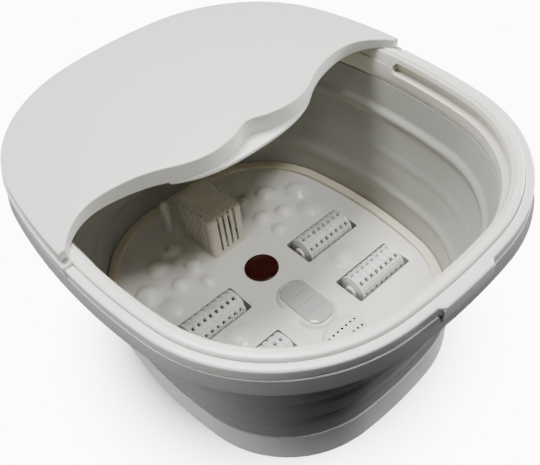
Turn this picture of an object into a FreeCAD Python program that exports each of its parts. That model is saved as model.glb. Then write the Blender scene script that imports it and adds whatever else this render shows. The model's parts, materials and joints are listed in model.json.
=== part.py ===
"""Collapsible foot spa basin: base with massage floor, folding wall, top frame, handle and splash lid.

Frame: +Z up, +X to the user's right, -Y towards the user. The origin is the middle of the feet's underside.
"""
import FreeCAD, Part
import math
import os
import Sketcher

X_AXIS = FreeCAD.Vector(1, 0, 0)
Y_AXIS = FreeCAD.Vector(0, 1, 0)
Z_AXIS = FreeCAD.Vector(0, 0, 1)

SIZES = {
    # outline of the base: side and end arcs joined by corner arcs
    "base_half_width": 143, "base_half_depth": 165.5, "base_corner": 107, "base_side": 460, "base_end": 431,
    # outline of the rim
    "rim_half_width": 180, "rim_half_depth": 209, "rim_corner": 137, "rim_side": 553, "rim_end": 518,
    # base shell, bottom plate, feet and screws
    "shell_wall": 2.5, "shell_bottom": 2, "base_top": 38.9, "base_flange_width": 12, "base_flange_thick": 2.4,
    "plate_bottom": 3, "plate_thick": 2.5, "plate_inset": 3,
    "foot_radius": 10, "foot_across": 100, "foot_along": 80,
    "screw_radius": 1.5, "screw_head_radius": 3.2, "screw_head_thick": 2, "screw_length": 13,
    "boss_radius": 4, "side_screw_across": 121, "side_screw_along": 48, "end_screw_across": 75,
    "end_screw_along": 112,
    # massage floor
    "deck_thick": 2.5, "deck_inset": 10, "well_length": 70, "well_width": 34, "well_floor": 21,
    "well_wall": 2,
    "ring_inset": 3.4, "ring_width": 9.1, "ring_thick": 4,
    "dome_sink": 0.35, "post_across": -31, "post_along": 127, "post_radius": 4.5, "post_height": 34,
    # foot rollers
    "roller_across": 73, "rear_roller_along": 2, "front_roller_along": -68, "roller_sink": 3,
    "roller_length": 60, "rib_radius": 15, "rib_thick": 4.4, "core_radius": 11,
    "axle_radius": 2.5, "axle_length": 67, "running_clearance": 0.05,
    "clip_thick": 2.6, "clip_width": 12, "clip_gap": 0.4,
    # lamp lens, clear window and bubble cap
    "lens_along": 14, "lens_radius": 17.3, "lens_thick": 1.5, "lens_plug_radius": 14.8, "gasket_thick": 0.5,
    "lamp_board_radius": 14, "lamp_radius": 2.5, "lamp_height": 3, "lamp_circle": 8, "lamp_board_level": 32,
    "board_thick": 1.6,
    "window_along": -50, "window_length": 56, "window_width": 30, "window_thick": 2.4,
    "mound_length": 66, "mound_width": 40, "mound_height": 3.6, "window_plug_margin": 3,
    "bubble_along": -99, "bubble_half_width": 23, "bubble_half_depth": 16, "bubble_height": 6.5,
    "bubble_wall": 1.8, "bubble_hole_radius": 1, "bubble_pitch": 5.9, "bubble_row_gap": 9.5,
    "air_port_radius": 3,
    # herb box
    "box_across": -4, "box_along": 84, "box_width": 42, "box_depth": 56, "box_height": 48, "box_wall": 2,
    "box_corner": 6, "cap_plug": 4, "box_slot": 2.4, "box_slot_pitch": 6.6, "box_slot_margin": 5,
    "cap_thick": 3.6,
    "cap_hole_radius": 1.1, "cap_hole_pitch": 6.4, "seat_height": 3, "seat_clearance": 0.4,
    "intake_radius": 7.5,
    # heater, pumps and boards under the floor
    "inner_floor": 6, "heater_width": 70, "heater_depth": 24, "heater_height": 22, "heater_along": 130,
    "thermostat_radius": 7, "thermostat_height": 5,
    "motor_radius": 15, "motor_height": 14, "volute_radius": 20, "volute_height": 15,
    "hose_radius": 4.5, "hose_bend": 14, "hose_side": 20, "port_length": 8,
    "air_pump_width": 40, "air_pump_depth": 34, "air_pump_height": 22, "air_pump_along": -38,
    "air_hose_radius": 3, "air_hose_bend": 10,
    "control_board_across": 124, "control_board_width": 22, "control_board_length": 66,
    # control panel on the right side of the base
    "panel_half_length": 43, "panel_bottom": 8, "panel_height": 26, "panel_proud": 2, "panel_lip": 3.4,
    "panel_depth": 5, "button_radius": 5.9, "button_first": -28, "button_pitch": 20, "button_proud": 1.4,
    "button_length": 10, "button_clearance": 0.3, "button_board_across": 131.4, "button_board_height": 18,
    "switch_radius": 2, "switch_height": 2.2, "display_along": 31, "display_length": 12, "display_height": 9,
    "display_recess": 0.9,
    # mains inlet at the back of the base
    "inlet_width": 30, "inlet_height": 18, "inlet_depth": 16, "inlet_level": 20, "inlet_flange": 3,
    "inlet_mouth_width": 20, "inlet_mouth_height": 9, "inlet_mouth_depth": 12,
    # folding wall
    "wall_thick": 2.2, "wall_base_inset": 1, "wall_rim_inset": 20, "tier_height": 39.25, "tier_overlap": 2,
    "tier_gap": 0.4, "tier_lip": 2.2, "wall_top": 186, "wall_flange_reach": 7,
    "upper_ring_gap": 0.3, "upper_ring_thick": 3.1,
    # top frame
    "skirt_bottom": 190, "skirt_flare": 3, "ledge_top": 202.5, "ledge_thick": 2.5, "frame_wall": 2.4,
    "riser_inset": 7.8, "cap_inset": 14, "rim_top": 214.5, "band_top": 212.3,
    # inner lip with its recess
    "lip_overlap": 0.15, "lip_top": 213.4, "lip_upper_inset": 17.4, "recess_top": 208.5,
    "recess_bottom": 198.5,
    "recess_back": 11.2, "recess_end": -13, "lip_inset": 19.4, "lip_inner_inset": 21.8,
    # carry handle
    "handle_gap": 0.4, "handle_inner": 7.3, "handle_bottom": 203, "handle_along": -8, "pin_radius": 2,
    "pin_length": 9.6, "tab_half_width": 26, "tab_proud": 3, "tab_inner": 1.2, "tab_bottom": 199.5,
    "rebate_gap": 0.6,
    # splash lid
    "lid_inset": 2.5, "lid_bottom": 214.7, "lid_top": 231.5, "lid_crown_radius": 1668, "lid_crown_along": 25,
    "lid_thick": 2.6, "rail_thick": 3.4, "rail_back": 46,
    "lid_rib_thick": 2.5, "lid_rib_bottom": 203, "side_rib_across": 145, "side_rib_length": 40,
    "side_rib_along": 85, "rear_rib_along": 184, "rear_rib_width": 60,
}

doc = FreeCAD.newDocument("FootSpaBasin")
sheet = doc.addObject("Spreadsheet::Sheet", "Sizes")
for row, (alias, number) in enumerate(SIZES.items(), start=1):
    sheet.set(f"A{row}", alias)
    sheet.set(f"B{row}", str(number))
    sheet.setAlias(f"B{row}", alias)
doc.recompute()

pieces = []


class Length:
    """A size in millimetres together with the sheet expression that gives it."""

    def __init__(self, number, text):
        self.number = float(number)
        self.text = text

    def __add__(self, other):
        other = as_length(other)
        return Length(self.number + other.number, f"({self.text} + {other.text})")

    def __sub__(self, other):
        other = as_length(other)
        return Length(self.number - other.number, f"({self.text} - {other.text})")

    def __mul__(self, factor):
        return Length(self.number * factor, f"({self.text} * {factor!r})")

    def __truediv__(self, divisor):
        return Length(self.number / divisor, f"({self.text} / {divisor!r})")

    def __neg__(self):
        return Length(-self.number, f"(0 mm - {self.text})" if " mm" in self.text else f"(0 - {self.text})")

    __radd__ = __add__
    __rmul__ = __mul__

    def __rsub__(self, other):
        return as_length(other) - self


def as_length(amount):
    """Turn a plain number into a Length."""
    return amount if isinstance(amount, Length) else Length(amount, repr(float(amount)))


class SheetSizes:
    """Gives each alias of the sheet as a Length."""

    def __getattr__(self, alias):
        return Length(SIZES[alias], f"Sizes.{alias}")


size = SheetSizes()
ZERO = as_length(0)


# ---------------------------------------------------------------------------------------- helpers
def bind(target, path, length):
    """Bind one property of an object to the sheet."""
    target.setExpression(path, as_length(length).text)


def export(item, label):
    """Give a finished piece its label and add it to the pieces that are written."""
    item.Label = label
    pieces.append(item)
    return item


def place(item, x, y, z):
    """Bind an object's position to the sheet."""
    bind(item, "Placement.Base.x", x)
    bind(item, "Placement.Base.y", y)
    bind(item, "Placement.Base.z", z)


def box(name, length, width, height, x, y, z):
    """A block centred on x and y that stands on z."""
    item = doc.addObject("Part::Box", name)
    bind(item, "Length", length)
    bind(item, "Width", width)
    bind(item, "Height", height)
    place(item, as_length(x) - as_length(length) / 2, as_length(y) - as_length(width) / 2, z)
    return item


def cylinder(name, radius, height, x, y, z, along=Z_AXIS):
    """A cylinder that starts at x, y, z and runs along one axis."""
    item = doc.addObject("Part::Cylinder", name)
    item.Placement = FreeCAD.Placement(FreeCAD.Vector(), FreeCAD.Rotation(Z_AXIS, along))
    bind(item, "Radius", radius)
    bind(item, "Height", height)
    place(item, x, y, z)
    return item


def fuse(name, items):
    """Join several objects into one solid."""
    item = doc.addObject("Part::MultiFuse", name)
    item.Shapes = items
    return item


def group(name, items):
    """Keep several separate solids together in one object."""
    item = doc.addObject("Part::Compound", name)
    item.Links = items
    return item


def cut(name, base, tools):
    """Take one or more tools out of a base."""
    item = doc.addObject("Part::Cut", name)
    item.Base = base
    item.Tool = tools[0] if len(tools) == 1 else fuse(name + "_tools", tools)
    return item


def common(name, base, tool):
    """Keep what two objects share."""
    item = doc.addObject("Part::Common", name)
    item.Base = base
    item.Tool = tool
    return item


def new_body(name):
    """A PartDesign body."""
    return doc.addObject("PartDesign::Body", name)


def new_sketch(body, name, level, role="XY_Plane"):
    """A sketch on one of the body's own origin planes, moved along its normal to a level."""
    sketch = body.newObject("Sketcher::SketchObject", name)
    plane = next(item for item in body.Origin.OriginFeatures if item.Role == role)
    sketch.AttachmentSupport = [(plane, "")]
    sketch.MapMode = "FlatFace"
    bind(sketch, "AttachmentOffset.Base.z", level)
    return sketch


def constrain(sketch, kind, *arguments):
    """Add a constraint, bound to the sheet when its last argument is a Length."""
    last = arguments[-1]
    if not isinstance(last, Length):
        return sketch.addConstraint(Sketcher.Constraint(kind, *arguments))
    index = sketch.addConstraint(Sketcher.Constraint(kind, *arguments[:-1], last.number))
    sketch.setExpression(f"Constraints[{index}]", last.text)
    return index


def oval_sizes(level, inset):
    """Half width, half depth, side, end and corner radius between the base (0) and the rim (1)."""
    terms = []
    for term in ("half_width", "half_depth", "side", "end", "corner"):
        low = getattr(size, "base_" + term)
        high = getattr(size, "rim_" + term)
        terms.append(low + (high - low) * float(level) - inset)
    return terms


def oval(sketch, level, inset):
    """Draw the basin's outline: four shallow arcs joined by four tangent corner arcs."""
    half_width, half_depth, side, end, corner = oval_sizes(level, inset)
    side_centre = half_width.number - side.number
    end_centre = half_depth.number - end.number
    reach_side = side.number - corner.number
    reach_end = end.number - corner.number
    between = math.hypot(side_centre, end_centre)
    along = (reach_side ** 2 - reach_end ** 2 + between ** 2) / (2 * between)
    across = math.sqrt(reach_side ** 2 - along ** 2)
    corner_x = side_centre - along * side_centre / between - across * end_centre / between
    corner_y = along * end_centre / between - across * side_centre / between
    side_angle = math.atan2(corner_y, corner_x - side_centre)
    end_angle = math.atan2(corner_y - end_centre, corner_x)
    arcs = [
        (side_centre, 0, side, -side_angle, side_angle),
        (corner_x, corner_y, corner, side_angle, end_angle),
        (0, end_centre, end, end_angle, math.pi - end_angle),
        (-corner_x, corner_y, corner, math.pi - end_angle, math.pi - side_angle),
        (-side_centre, 0, side, math.pi - side_angle, math.pi + side_angle),
        (-corner_x, -corner_y, corner, math.pi + side_angle, math.pi + end_angle),
        (0, -end_centre, end, math.pi + end_angle, 2 * math.pi - end_angle),
        (corner_x, -corner_y, corner, 2 * math.pi - end_angle, 2 * math.pi - side_angle),
    ]
    first = sketch.GeometryCount
    for x, y, radius, start, stop in arcs:
        circle = Part.Circle(FreeCAD.Vector(x, y, 0), Z_AXIS, radius.number)
        sketch.addGeometry(Part.ArcOfCircle(circle, start, stop), False)
    for number in range(8):
        constrain(sketch, "Tangent", first + number, 2, first + (number + 1) % 8, 1)
    for number in (3, 5, 7):
        constrain(sketch, "Equal", first + 1, first + number)
    constrain(sketch, "Equal", first, first + 4)
    constrain(sketch, "Equal", first + 2, first + 6)
    for number in (0, 4):
        constrain(sketch, "PointOnObject", first + number, 3, -1)
    for number in (2, 6):
        constrain(sketch, "PointOnObject", first + number, 3, -2)
    constrain(sketch, "Radius", first, side)
    constrain(sketch, "Radius", first + 1, corner)
    constrain(sketch, "Radius", first + 2, end)
    constrain(sketch, "DistanceX", -1, 1, first, 3, half_width - side)
    constrain(sketch, "DistanceX", -1, 1, first + 4, 3, side - half_width)
    constrain(sketch, "DistanceY", -1, 1, first + 2, 3, half_depth - end)
    constrain(sketch, "DistanceY", -1, 1, first + 6, 3, end - half_depth)


def pad(body, sketch, height):
    """Pad a sketch of a body upwards."""
    feature = body.newObject("PartDesign::Pad", sketch.Name + "_pad")
    feature.Profile = sketch
    bind(feature, "Length", height)
    return feature


def ring(body, name, bottom, top, outer, inner):
    """Pad the band between two outlines, each a (level, inset) pair."""
    sketch = new_sketch(body, name, bottom)
    oval(sketch, *outer)
    if inner is not None:
        oval(sketch, *inner)
    return pad(body, sketch, as_length(top) - bottom)


def oval_ring(name, bottom, top, outer, inner=None):
    """A body of its own that is one band, or a full slab when it has no inner outline."""
    body = new_body(name)
    ring(body, name + "_outline", bottom, top, outer, inner)
    return body


def pill(name, length, width, bottom, top, along):
    """A slab with half-round ends whose long side runs along Y, centred on X = 0."""
    body = new_body(name)
    sketch = new_sketch(body, name + "_outline", bottom)
    half = (length - width) / 2
    radius = width / 2
    front = as_length(along) - half
    back = as_length(along) + half
    turn = math.pi
    for centre, start in ((front, turn), (back, 0)):
        circle = Part.Circle(FreeCAD.Vector(0, centre.number, 0), Z_AXIS, radius.number)
        sketch.addGeometry(Part.ArcOfCircle(circle, start, start + turn), False)
    for side in (1, -1):
        low = FreeCAD.Vector(side * radius.number, front.number, 0)
        high = FreeCAD.Vector(side * radius.number, back.number, 0)
        ends = (low, high) if side == 1 else (high, low)
        sketch.addGeometry(Part.LineSegment(*ends), False)
    constrain(sketch, "Tangent", 0, 2, 2, 1)
    constrain(sketch, "Tangent", 2, 2, 1, 1)
    constrain(sketch, "Tangent", 1, 2, 3, 1)
    constrain(sketch, "Tangent", 3, 2, 0, 1)
    constrain(sketch, "Radius", 0, radius)
    for geometry, centre in ((0, front), (1, back)):
        constrain(sketch, "PointOnObject", geometry, 3, -2)
        constrain(sketch, "DistanceY", -1, 1, geometry, 3, centre)
    pad(body, sketch, as_length(top) - bottom)
    return body


def hose(label, points, radius, bend):
    """A round hose along straight runs joined by tangent arcs."""
    corners = [FreeCAD.Vector(*(as_length(part).number for part in point)) for point in points]
    edges = []
    start = corners[0]
    for before, corner, after in zip(corners, corners[1:], corners[2:]):
        arrive = (corner - before).normalize()
        leave = (after - corner).normalize()
        turn = arrive.getAngle(leave)
        reach = bend.number * math.tan(turn / 2)
        first = corner - arrive * reach
        last = corner + leave * reach
        middle = (leave - arrive).normalize()
        top = corner + middle * (bend.number / math.cos(turn / 2) - bend.number)
        edges.append(Part.LineSegment(start, first).toShape())
        edges.append(Part.Arc(first, top, last).toShape())
        start = last
    edges.append(Part.LineSegment(start, corners[-1]).toShape())
    path = Part.Wire(edges)
    circle = Part.Circle(corners[0], corners[1] - corners[0], radius.number).toShape()
    item = doc.addObject("Part::Feature", label)
    item.Shape = path.makePipeShell([Part.Wire([circle])], True, False)
    return export(item, label)


deck_top = size.base_top + size.deck_thick
roller_level = deck_top - size.roller_sink
box_right = size.box_across


def rounded_box(name, width, depth, bottom, top, radius):
    """A block over the herb box's place with its four upright edges rounded."""
    block = box(name + "_block", width, depth, as_length(top) - bottom, box_right, size.box_along, bottom)
    doc.recompute()
    upright = []
    for number, edge in enumerate(block.Shape.Edges, start=1):
        if abs(edge.tangentAt(edge.FirstParameter).z) > 0.9:
            upright.append((number, as_length(radius).number, as_length(radius).number))
    rounded = doc.addObject("Part::Fillet", name)
    rounded.Base = block
    rounded.Edges = upright
    return rounded


# ------------------------------------------------------------------------------------------- base
def screw_places():
    """The places where the bottom plate is screwed to the floor's bosses."""
    places = []
    for across, along in ((size.side_screw_across, size.side_screw_along),
                          (size.end_screw_across, size.end_screw_along)):
        places += [(across, along), (-across, along), (-across, -along), (across, -along)]
    return places


def build_base():
    """The base band with its inner flange, the bottom plate, feet and screws."""
    band = new_body("base_band")
    ring(band, "band_wall", size.shell_bottom, size.base_top, (0, ZERO), (0, size.shell_wall))
    flange_bottom = size.base_top - size.base_flange_thick
    ring(band, "band_flange", flange_bottom, size.base_top, (0, size.shell_wall / 2),
         (0, size.base_flange_width))
    panel_hole = box("panel_hole", size.shell_wall * 8, (size.panel_half_length - size.panel_lip) * 2,
                     size.panel_height - size.panel_lip * 2, size.base_half_width, 0,
                     size.panel_bottom + size.panel_lip)
    inlet_hole = box("inlet_hole", size.inlet_width, size.shell_wall * 6, size.inlet_height,
                     0, size.base_half_depth, size.inlet_level - size.inlet_height / 2)
    export(cut("base_shell", band, [panel_hole, inlet_hole]), "base_shell")

    slab = oval_ring("bottom_slab", size.plate_bottom, size.plate_bottom + size.plate_thick,
                     (0, size.plate_inset))
    holes = [cylinder(f"plate_hole_{number}", size.screw_radius, size.plate_thick * 3, x, y,
                      size.plate_bottom - size.plate_thick)
             for number, (x, y) in enumerate(screw_places())]
    export(cut("bottom_plate", slab, holes), "bottom_plate")

    feet = [cylinder(f"foot_{number}", size.foot_radius, size.plate_bottom,
                     size.foot_across * across, size.foot_along * along, 0)
            for number, (across, along) in enumerate(((1, 1), (-1, 1), (-1, -1), (1, -1)))]
    export(group("rubber_feet", feet), "rubber_feet")

    screws = []
    for number, (x, y) in enumerate(screw_places()):
        head = cylinder(f"screw_head_{number}", size.screw_head_radius, size.screw_head_thick, x, y,
                        size.plate_bottom - size.screw_head_thick)
        shank = cylinder(f"screw_shank_{number}", size.screw_radius, size.screw_length, x, y,
                         size.plate_bottom)
        screws.append(fuse(f"screw_{number}", [head, shank]))
    export(group("base_screws", screws), "base_screws")


# ------------------------------------------------------------------------------------------ floor
DOMES = [
    # across, along, radius, height: one foot's acupressure domes, mirrored for the other foot
    (74, 91, 12, 6.5), (46, 66, 10, 6), (101, 69, 14, 7), (70, 56, 10, 6), (48, 40, 9, 5), (91, 39, 13, 4.5),
    (47, 100, 9, 5), (68, -32, 15, 5),
]


def dome(name, across, along, radius, height):
    """A low dome on the deck: the cap of a ball that sinks a little into the deck."""
    ball_radius = (radius ** 2 + height ** 2) / (2 * height)
    ball = doc.addObject("Part::Sphere", name)
    ball.Radius = ball_radius
    place(ball, as_length(across), as_length(along), deck_top + size.dome_sink + height - ball_radius)
    return ball


def build_floor():
    """The massage floor: deck, roller wells, domes, mound for the window and seat for the herb box."""
    deck = oval_ring("deck_slab", size.base_top, deck_top, (0, size.deck_inset))
    solids = [deck]
    hollows = []
    wells = [(side, along) for side in (1, -1) for along in (size.rear_roller_along, size.front_roller_along)]
    well_base = size.well_floor - size.well_wall
    for number, (side, along) in enumerate(wells):
        across = size.roller_across * side
        solids.append(box(f"well_{number}", size.well_length + size.well_wall * 2,
                          size.well_width + size.well_wall * 2, size.base_top + 1 - well_base,
                          across, along, well_base))
        hollows.append(box(f"well_space_{number}", size.well_length, size.well_width,
                           deck_top + 1 - size.well_floor, across, along, size.well_floor))
    plate_top = size.plate_bottom + size.plate_thick
    for number, (x, y) in enumerate(screw_places()):
        solids.append(cylinder(f"boss_{number}", size.boss_radius, size.base_top + 1 - plate_top, x, y,
                               plate_top))
        hollows.append(cylinder(f"boss_hole_{number}", size.screw_radius,
                                size.screw_length - size.plate_thick,
                                x, y, plate_top))
    solids.append(pill("window_mound", size.mound_length, size.mound_width, size.base_top,
                       deck_top + size.mound_height, size.window_along))
    seat_width = size.box_width - size.box_wall * 2 - size.seat_clearance * 2
    seat_depth = size.box_depth - size.box_wall * 2 - size.seat_clearance * 2
    solids.append(rounded_box("box_seat", seat_width, seat_depth, size.base_top, deck_top + size.seat_height,
                              size.box_corner - size.box_wall - size.seat_clearance))
    post_top = deck_top + size.post_height
    solids.append(cylinder("post_stem", size.post_radius, post_top - size.base_top, size.post_across,
                           size.post_along, size.base_top))
    knob = doc.addObject("Part::Sphere", "post_knob")
    bind(knob, "Radius", size.post_radius)
    place(knob, size.post_across, size.post_along, post_top)
    solids.append(knob)
    through = size.deck_thick + size.mound_height + 2
    hollows.append(cylinder("lens_hole", size.lens_plug_radius, through, ZERO, size.lens_along,
                            size.base_top - 1))
    margin = size.window_plug_margin * 2
    hollows.append(pill("window_hole", size.window_length - margin, size.window_width - margin,
                        size.base_top - 1, deck_top + size.mound_height + 1, size.window_along))
    hollows.append(cylinder("air_port", size.air_port_radius, through, ZERO, size.bubble_along,
                            size.base_top - 1))
    hollows.append(cylinder("intake_port", size.intake_radius, through, box_right, size.box_along,
                            size.base_top - 1))
    shell = cut("floor_with_wells", fuse("floor_solids", solids), hollows)
    caps = []
    for number, (across, along, radius, height) in enumerate(DOMES):
        for side in (1, -1):
            caps.append(dome(f"dome_{number}_{side + 1}", side * across, along, radius, height))
    above = box("above_deck", size.base_half_width * 2, size.base_half_depth * 2, size.ring_thick * 5,
                0, 0, deck_top - size.deck_thick / 2)
    export(fuse("floor_tray", [shell, common("dome_caps", fuse("dome_balls", caps), above)]), "floor_tray")

    export(oval_ring("lower_clamp_ring", deck_top, deck_top + size.ring_thick,
                     (0, size.ring_inset), (0, size.ring_inset + size.ring_width)), "lower_clamp_ring")


# ---------------------------------------------------------------------------------------- rollers
def build_roller(label, side, along):
    """One foot roller: a core with nine ribs and a bore that runs on its axle."""
    start = size.roller_across * side - size.roller_length / 2
    parts = [cylinder(label + "_core", size.core_radius, size.roller_length, start, along, roller_level,
                      X_AXIS)]
    pitch = (size.roller_length - size.rib_thick) / 8
    for number in range(9):
        parts.append(cylinder(f"{label}_rib_{number}", size.rib_radius, size.rib_thick,
                              start + pitch * number, along, roller_level, X_AXIS))
    bore = cylinder(label + "_bore", size.axle_radius + size.running_clearance, size.roller_length + 2,
                    start - 1, along, roller_level, X_AXIS)
    export(cut(label, fuse(label + "_solid", parts), [bore]), label)


def build_rollers():
    """Four rollers in their wells, their axles and the clips that hold the axles."""
    axles = []
    clips = []
    for end, along in (("rear", size.rear_roller_along), ("front", size.front_roller_along)):
        for name, side in (("right", 1), ("left", -1)):
            build_roller(f"roller_{end}_{name}", side, along)
            centre = size.roller_across * side
            axles.append(cylinder(f"axle_{end}_{name}", size.axle_radius, size.axle_length,
                                  centre - size.axle_length / 2, along, roller_level, X_AXIS))
            for way in (1, -1):
                key = f"{end}_{name}_{way + 1}"
                reach = size.roller_length / 2 + size.clip_gap + size.clip_thick / 2
                x = centre + reach * way
                post = box(f"clip_post_{key}", size.clip_thick, size.clip_width,
                           roller_level - size.well_floor, x, along, size.well_floor)
                head = cylinder(f"clip_head_{key}", size.clip_width / 2, size.clip_thick,
                                x - size.clip_thick / 2, along, roller_level, X_AXIS)
                hole = cylinder(f"clip_hole_{key}", size.axle_radius, size.clip_thick + 2,
                                x - size.clip_thick / 2 - 1, along, roller_level, X_AXIS)
                clips.append(cut(f"clip_{key}", fuse(f"clip_solid_{key}", [post, head]), [hole]))
    export(group("roller_axles", axles), "roller_axles")
    export(group("roller_clips", clips), "roller_clips")


# --------------------------------------------------------------------------- lamp, window, bubbles
def build_lamp():
    """The red lens on its gasket, and the lamp board below it."""
    lens_bottom = deck_top + size.gasket_thick
    disc = cylinder("lens_disc", size.lens_radius, size.lens_thick, 0, size.lens_along, lens_bottom)
    plug = cylinder("lens_plug", size.lens_plug_radius, size.deck_thick + size.gasket_thick,
                    0, size.lens_along, size.base_top)
    export(fuse("infrared_lens", [disc, plug]), "infrared_lens")
    outer = cylinder("gasket_disc", size.lens_radius, size.gasket_thick, 0, size.lens_along, deck_top)
    inner = cylinder("gasket_hole", size.lens_plug_radius, size.gasket_thick * 4, 0, size.lens_along,
                     deck_top - size.gasket_thick)
    export(cut("lens_gasket", outer, [inner]), "lens_gasket")
    board = cylinder("lamp_disc", size.lamp_board_radius, size.board_thick, 0, size.lens_along,
                     size.lamp_board_level)
    lamps = [board]
    for number in range(6):
        angle = math.radians(60 * number)
        lamps.append(cylinder(f"lamp_{number}", size.lamp_radius, size.lamp_height + size.board_thick / 2,
                              size.lamp_circle * math.cos(angle),
                              size.lens_along + size.lamp_circle * math.sin(angle),
                              size.lamp_board_level + size.board_thick / 2))
    export(fuse("infrared_lamp_board", lamps), "infrared_lamp_board")


def build_window():
    """The clear window on its mound and the light board below it."""
    mound_top = deck_top + size.mound_height
    margin = size.window_plug_margin * 2
    cover = pill("window_cover", size.window_length, size.window_width, mound_top,
                 mound_top + size.window_thick, size.window_along)
    plug = pill("window_plug", size.window_length - margin, size.window_width - margin,
                size.base_top, mound_top + size.window_thick / 2, size.window_along)
    export(fuse("light_window", [cover, plug]), "light_window")
    width = size.window_width - margin
    board = box("light_card", width, size.window_length - margin, size.board_thick, 0, size.window_along,
                size.lamp_board_level)
    lamps = [board]
    for number in (-1, 0, 1):
        lamps.append(box(f"light_{number + 1}", size.lamp_height * 2, size.lamp_height * 2, size.lamp_height,
                         0, size.window_along + size.lamp_circle * 1.8 * number,
                         size.lamp_board_level + size.board_thick / 2))
    export(fuse("light_board", lamps), "light_board")


def ellipsoid(name, half_width, half_depth, height, along, level):
    """An ellipsoid with its axes along X, Y and Z."""
    item = doc.addObject("Part::Ellipsoid", name)
    item.Angle1 = -90
    item.Angle2 = 90
    item.Angle3 = 360
    bind(item, "Radius1", height)
    bind(item, "Radius2", half_width)
    bind(item, "Radius3", half_depth)
    place(item, 0, along, level)
    return item


def build_bubble_cap():
    """The domed cap with two rows of holes that lets the air bubbles out."""
    outer = ellipsoid("cap_outside", size.bubble_half_width, size.bubble_half_depth, size.bubble_height,
                      size.bubble_along, deck_top)
    inner = ellipsoid("cap_inside", size.bubble_half_width - size.bubble_wall,
                      size.bubble_half_depth - size.bubble_wall, size.bubble_height - size.bubble_wall,
                      size.bubble_along, deck_top)
    above = box("cap_keep", size.bubble_half_width * 2.2, size.bubble_half_depth * 2.2,
                size.bubble_height * 1.5, 0, size.bubble_along, deck_top)
    tools = [inner]
    for row in (0, 1):
        for number in range(7):
            tools.append(cylinder(f"bubble_hole_{row}_{number}", size.bubble_hole_radius,
                                  size.bubble_height * 2, size.bubble_pitch * (number - 3),
                                  size.bubble_along + size.bubble_row_gap * (0.3 - row),
                                  deck_top + size.bubble_wall / 4))
    export(cut("bubble_cap", common("cap_dome", outer, above), tools), "bubble_cap")


# --------------------------------------------------------------------------------------- herb box
def build_herb_box():
    """The slotted cage that stands on its seat, and its perforated cap."""
    cage_top = deck_top + size.box_height
    outside = rounded_box("cage_outside", size.box_width, size.box_depth, deck_top, cage_top, size.box_corner)
    inside = rounded_box("cage_inside", size.box_width - size.box_wall * 2,
                         size.box_depth - size.box_wall * 2,
                         deck_top - 1, cage_top + 1, size.box_corner - size.box_wall)
    tools = [inside]
    slot_bottom = deck_top + size.box_slot_margin
    slot_height = size.box_height - size.box_slot_margin * 2
    for number in range(4):
        x = box_right + size.box_slot_pitch * (number - 1.5)
        tools.append(box(f"front_slot_{number}", size.box_slot, size.box_depth + 4, slot_height,
                         x, size.box_along, slot_bottom))
    for number in range(7):
        y = size.box_along + size.box_slot_pitch * (number - 3)
        tools.append(box(f"side_slot_{number}", size.box_width + 4, size.box_slot, slot_height,
                         box_right, y, slot_bottom))
    export(cut("herb_box_cage", outside, tools), "herb_box_cage")

    plate = rounded_box("cap_plate", size.box_width, size.box_depth, cage_top, cage_top + size.cap_thick,
                        size.box_corner)
    plug_width = size.box_width - size.box_wall * 2
    plug_depth = size.box_depth - size.box_wall * 2
    plug = rounded_box("cap_plug", plug_width, plug_depth, cage_top - size.cap_plug, cage_top + 1,
                       size.box_corner - size.box_wall)
    space = rounded_box("cap_space", plug_width - size.box_wall * 2, plug_depth - size.box_wall * 2,
                        cage_top - size.cap_plug - 1, cage_top, size.box_corner - size.box_wall * 2)
    holes = [space]
    for column in range(5):
        for line in range(7):
            holes.append(cylinder(f"cap_hole_{column}_{line}", size.cap_hole_radius, size.cap_thick * 3,
                                  box_right + size.cap_hole_pitch * (column - 2),
                                  size.box_along + size.cap_hole_pitch * (line - 3),
                                  cage_top - size.cap_thick))
    export(cut("herb_box_cap", fuse("cap_solid", [plate, plug]), holes), "herb_box_cap")


# ------------------------------------------------------------------------------ inside of the base
def build_water_heating():
    """Heater with its thermostat, circulation pump under the herb box, and the hose between them."""
    heater_face = size.heater_width / 2
    heater = box("heater_block", size.heater_width, size.heater_depth, size.heater_height, 0,
                 size.heater_along, size.inner_floor)
    port_level = size.inner_floor + size.heater_height / 2
    heater_port = cylinder("heater_port", size.hose_radius, size.port_length + 1, heater_face - 1,
                           size.heater_along, port_level, X_AXIS)
    export(fuse("ptc_heater", [heater, heater_port]), "ptc_heater")
    export(cylinder("thermostat", size.thermostat_radius, size.thermostat_height, 0, size.heater_along,
                    size.inner_floor + size.heater_height), "thermostat")

    volute_bottom = size.inner_floor + size.motor_height
    volute_top = volute_bottom + size.volute_height
    motor = cylinder("pump_motor", size.motor_radius, size.motor_height, box_right, size.box_along,
                     size.inner_floor)
    volute = cylinder("pump_volute", size.volute_radius, size.volute_height, box_right, size.box_along,
                      volute_bottom)
    neck = cylinder("pump_neck", size.intake_radius, size.base_top - volute_top, box_right, size.box_along,
                    volute_top)
    outlet_level = volute_bottom + size.volute_height / 2
    outlet = cylinder("pump_outlet", size.hose_radius, size.port_length + size.volute_radius, box_right,
                      size.box_along, outlet_level, X_AXIS)
    export(fuse("circulation_pump", [motor, volute, neck, outlet]), "circulation_pump")

    start = box_right + size.volute_radius + size.port_length
    end = heater_face + size.port_length
    hose("water_hose", [(start, size.box_along, outlet_level),
                        (end + size.hose_side, size.box_along, outlet_level),
                        (end + size.hose_side, size.heater_along, port_level),
                        (end, size.heater_along, port_level)], size.hose_radius, size.hose_bend)


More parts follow.
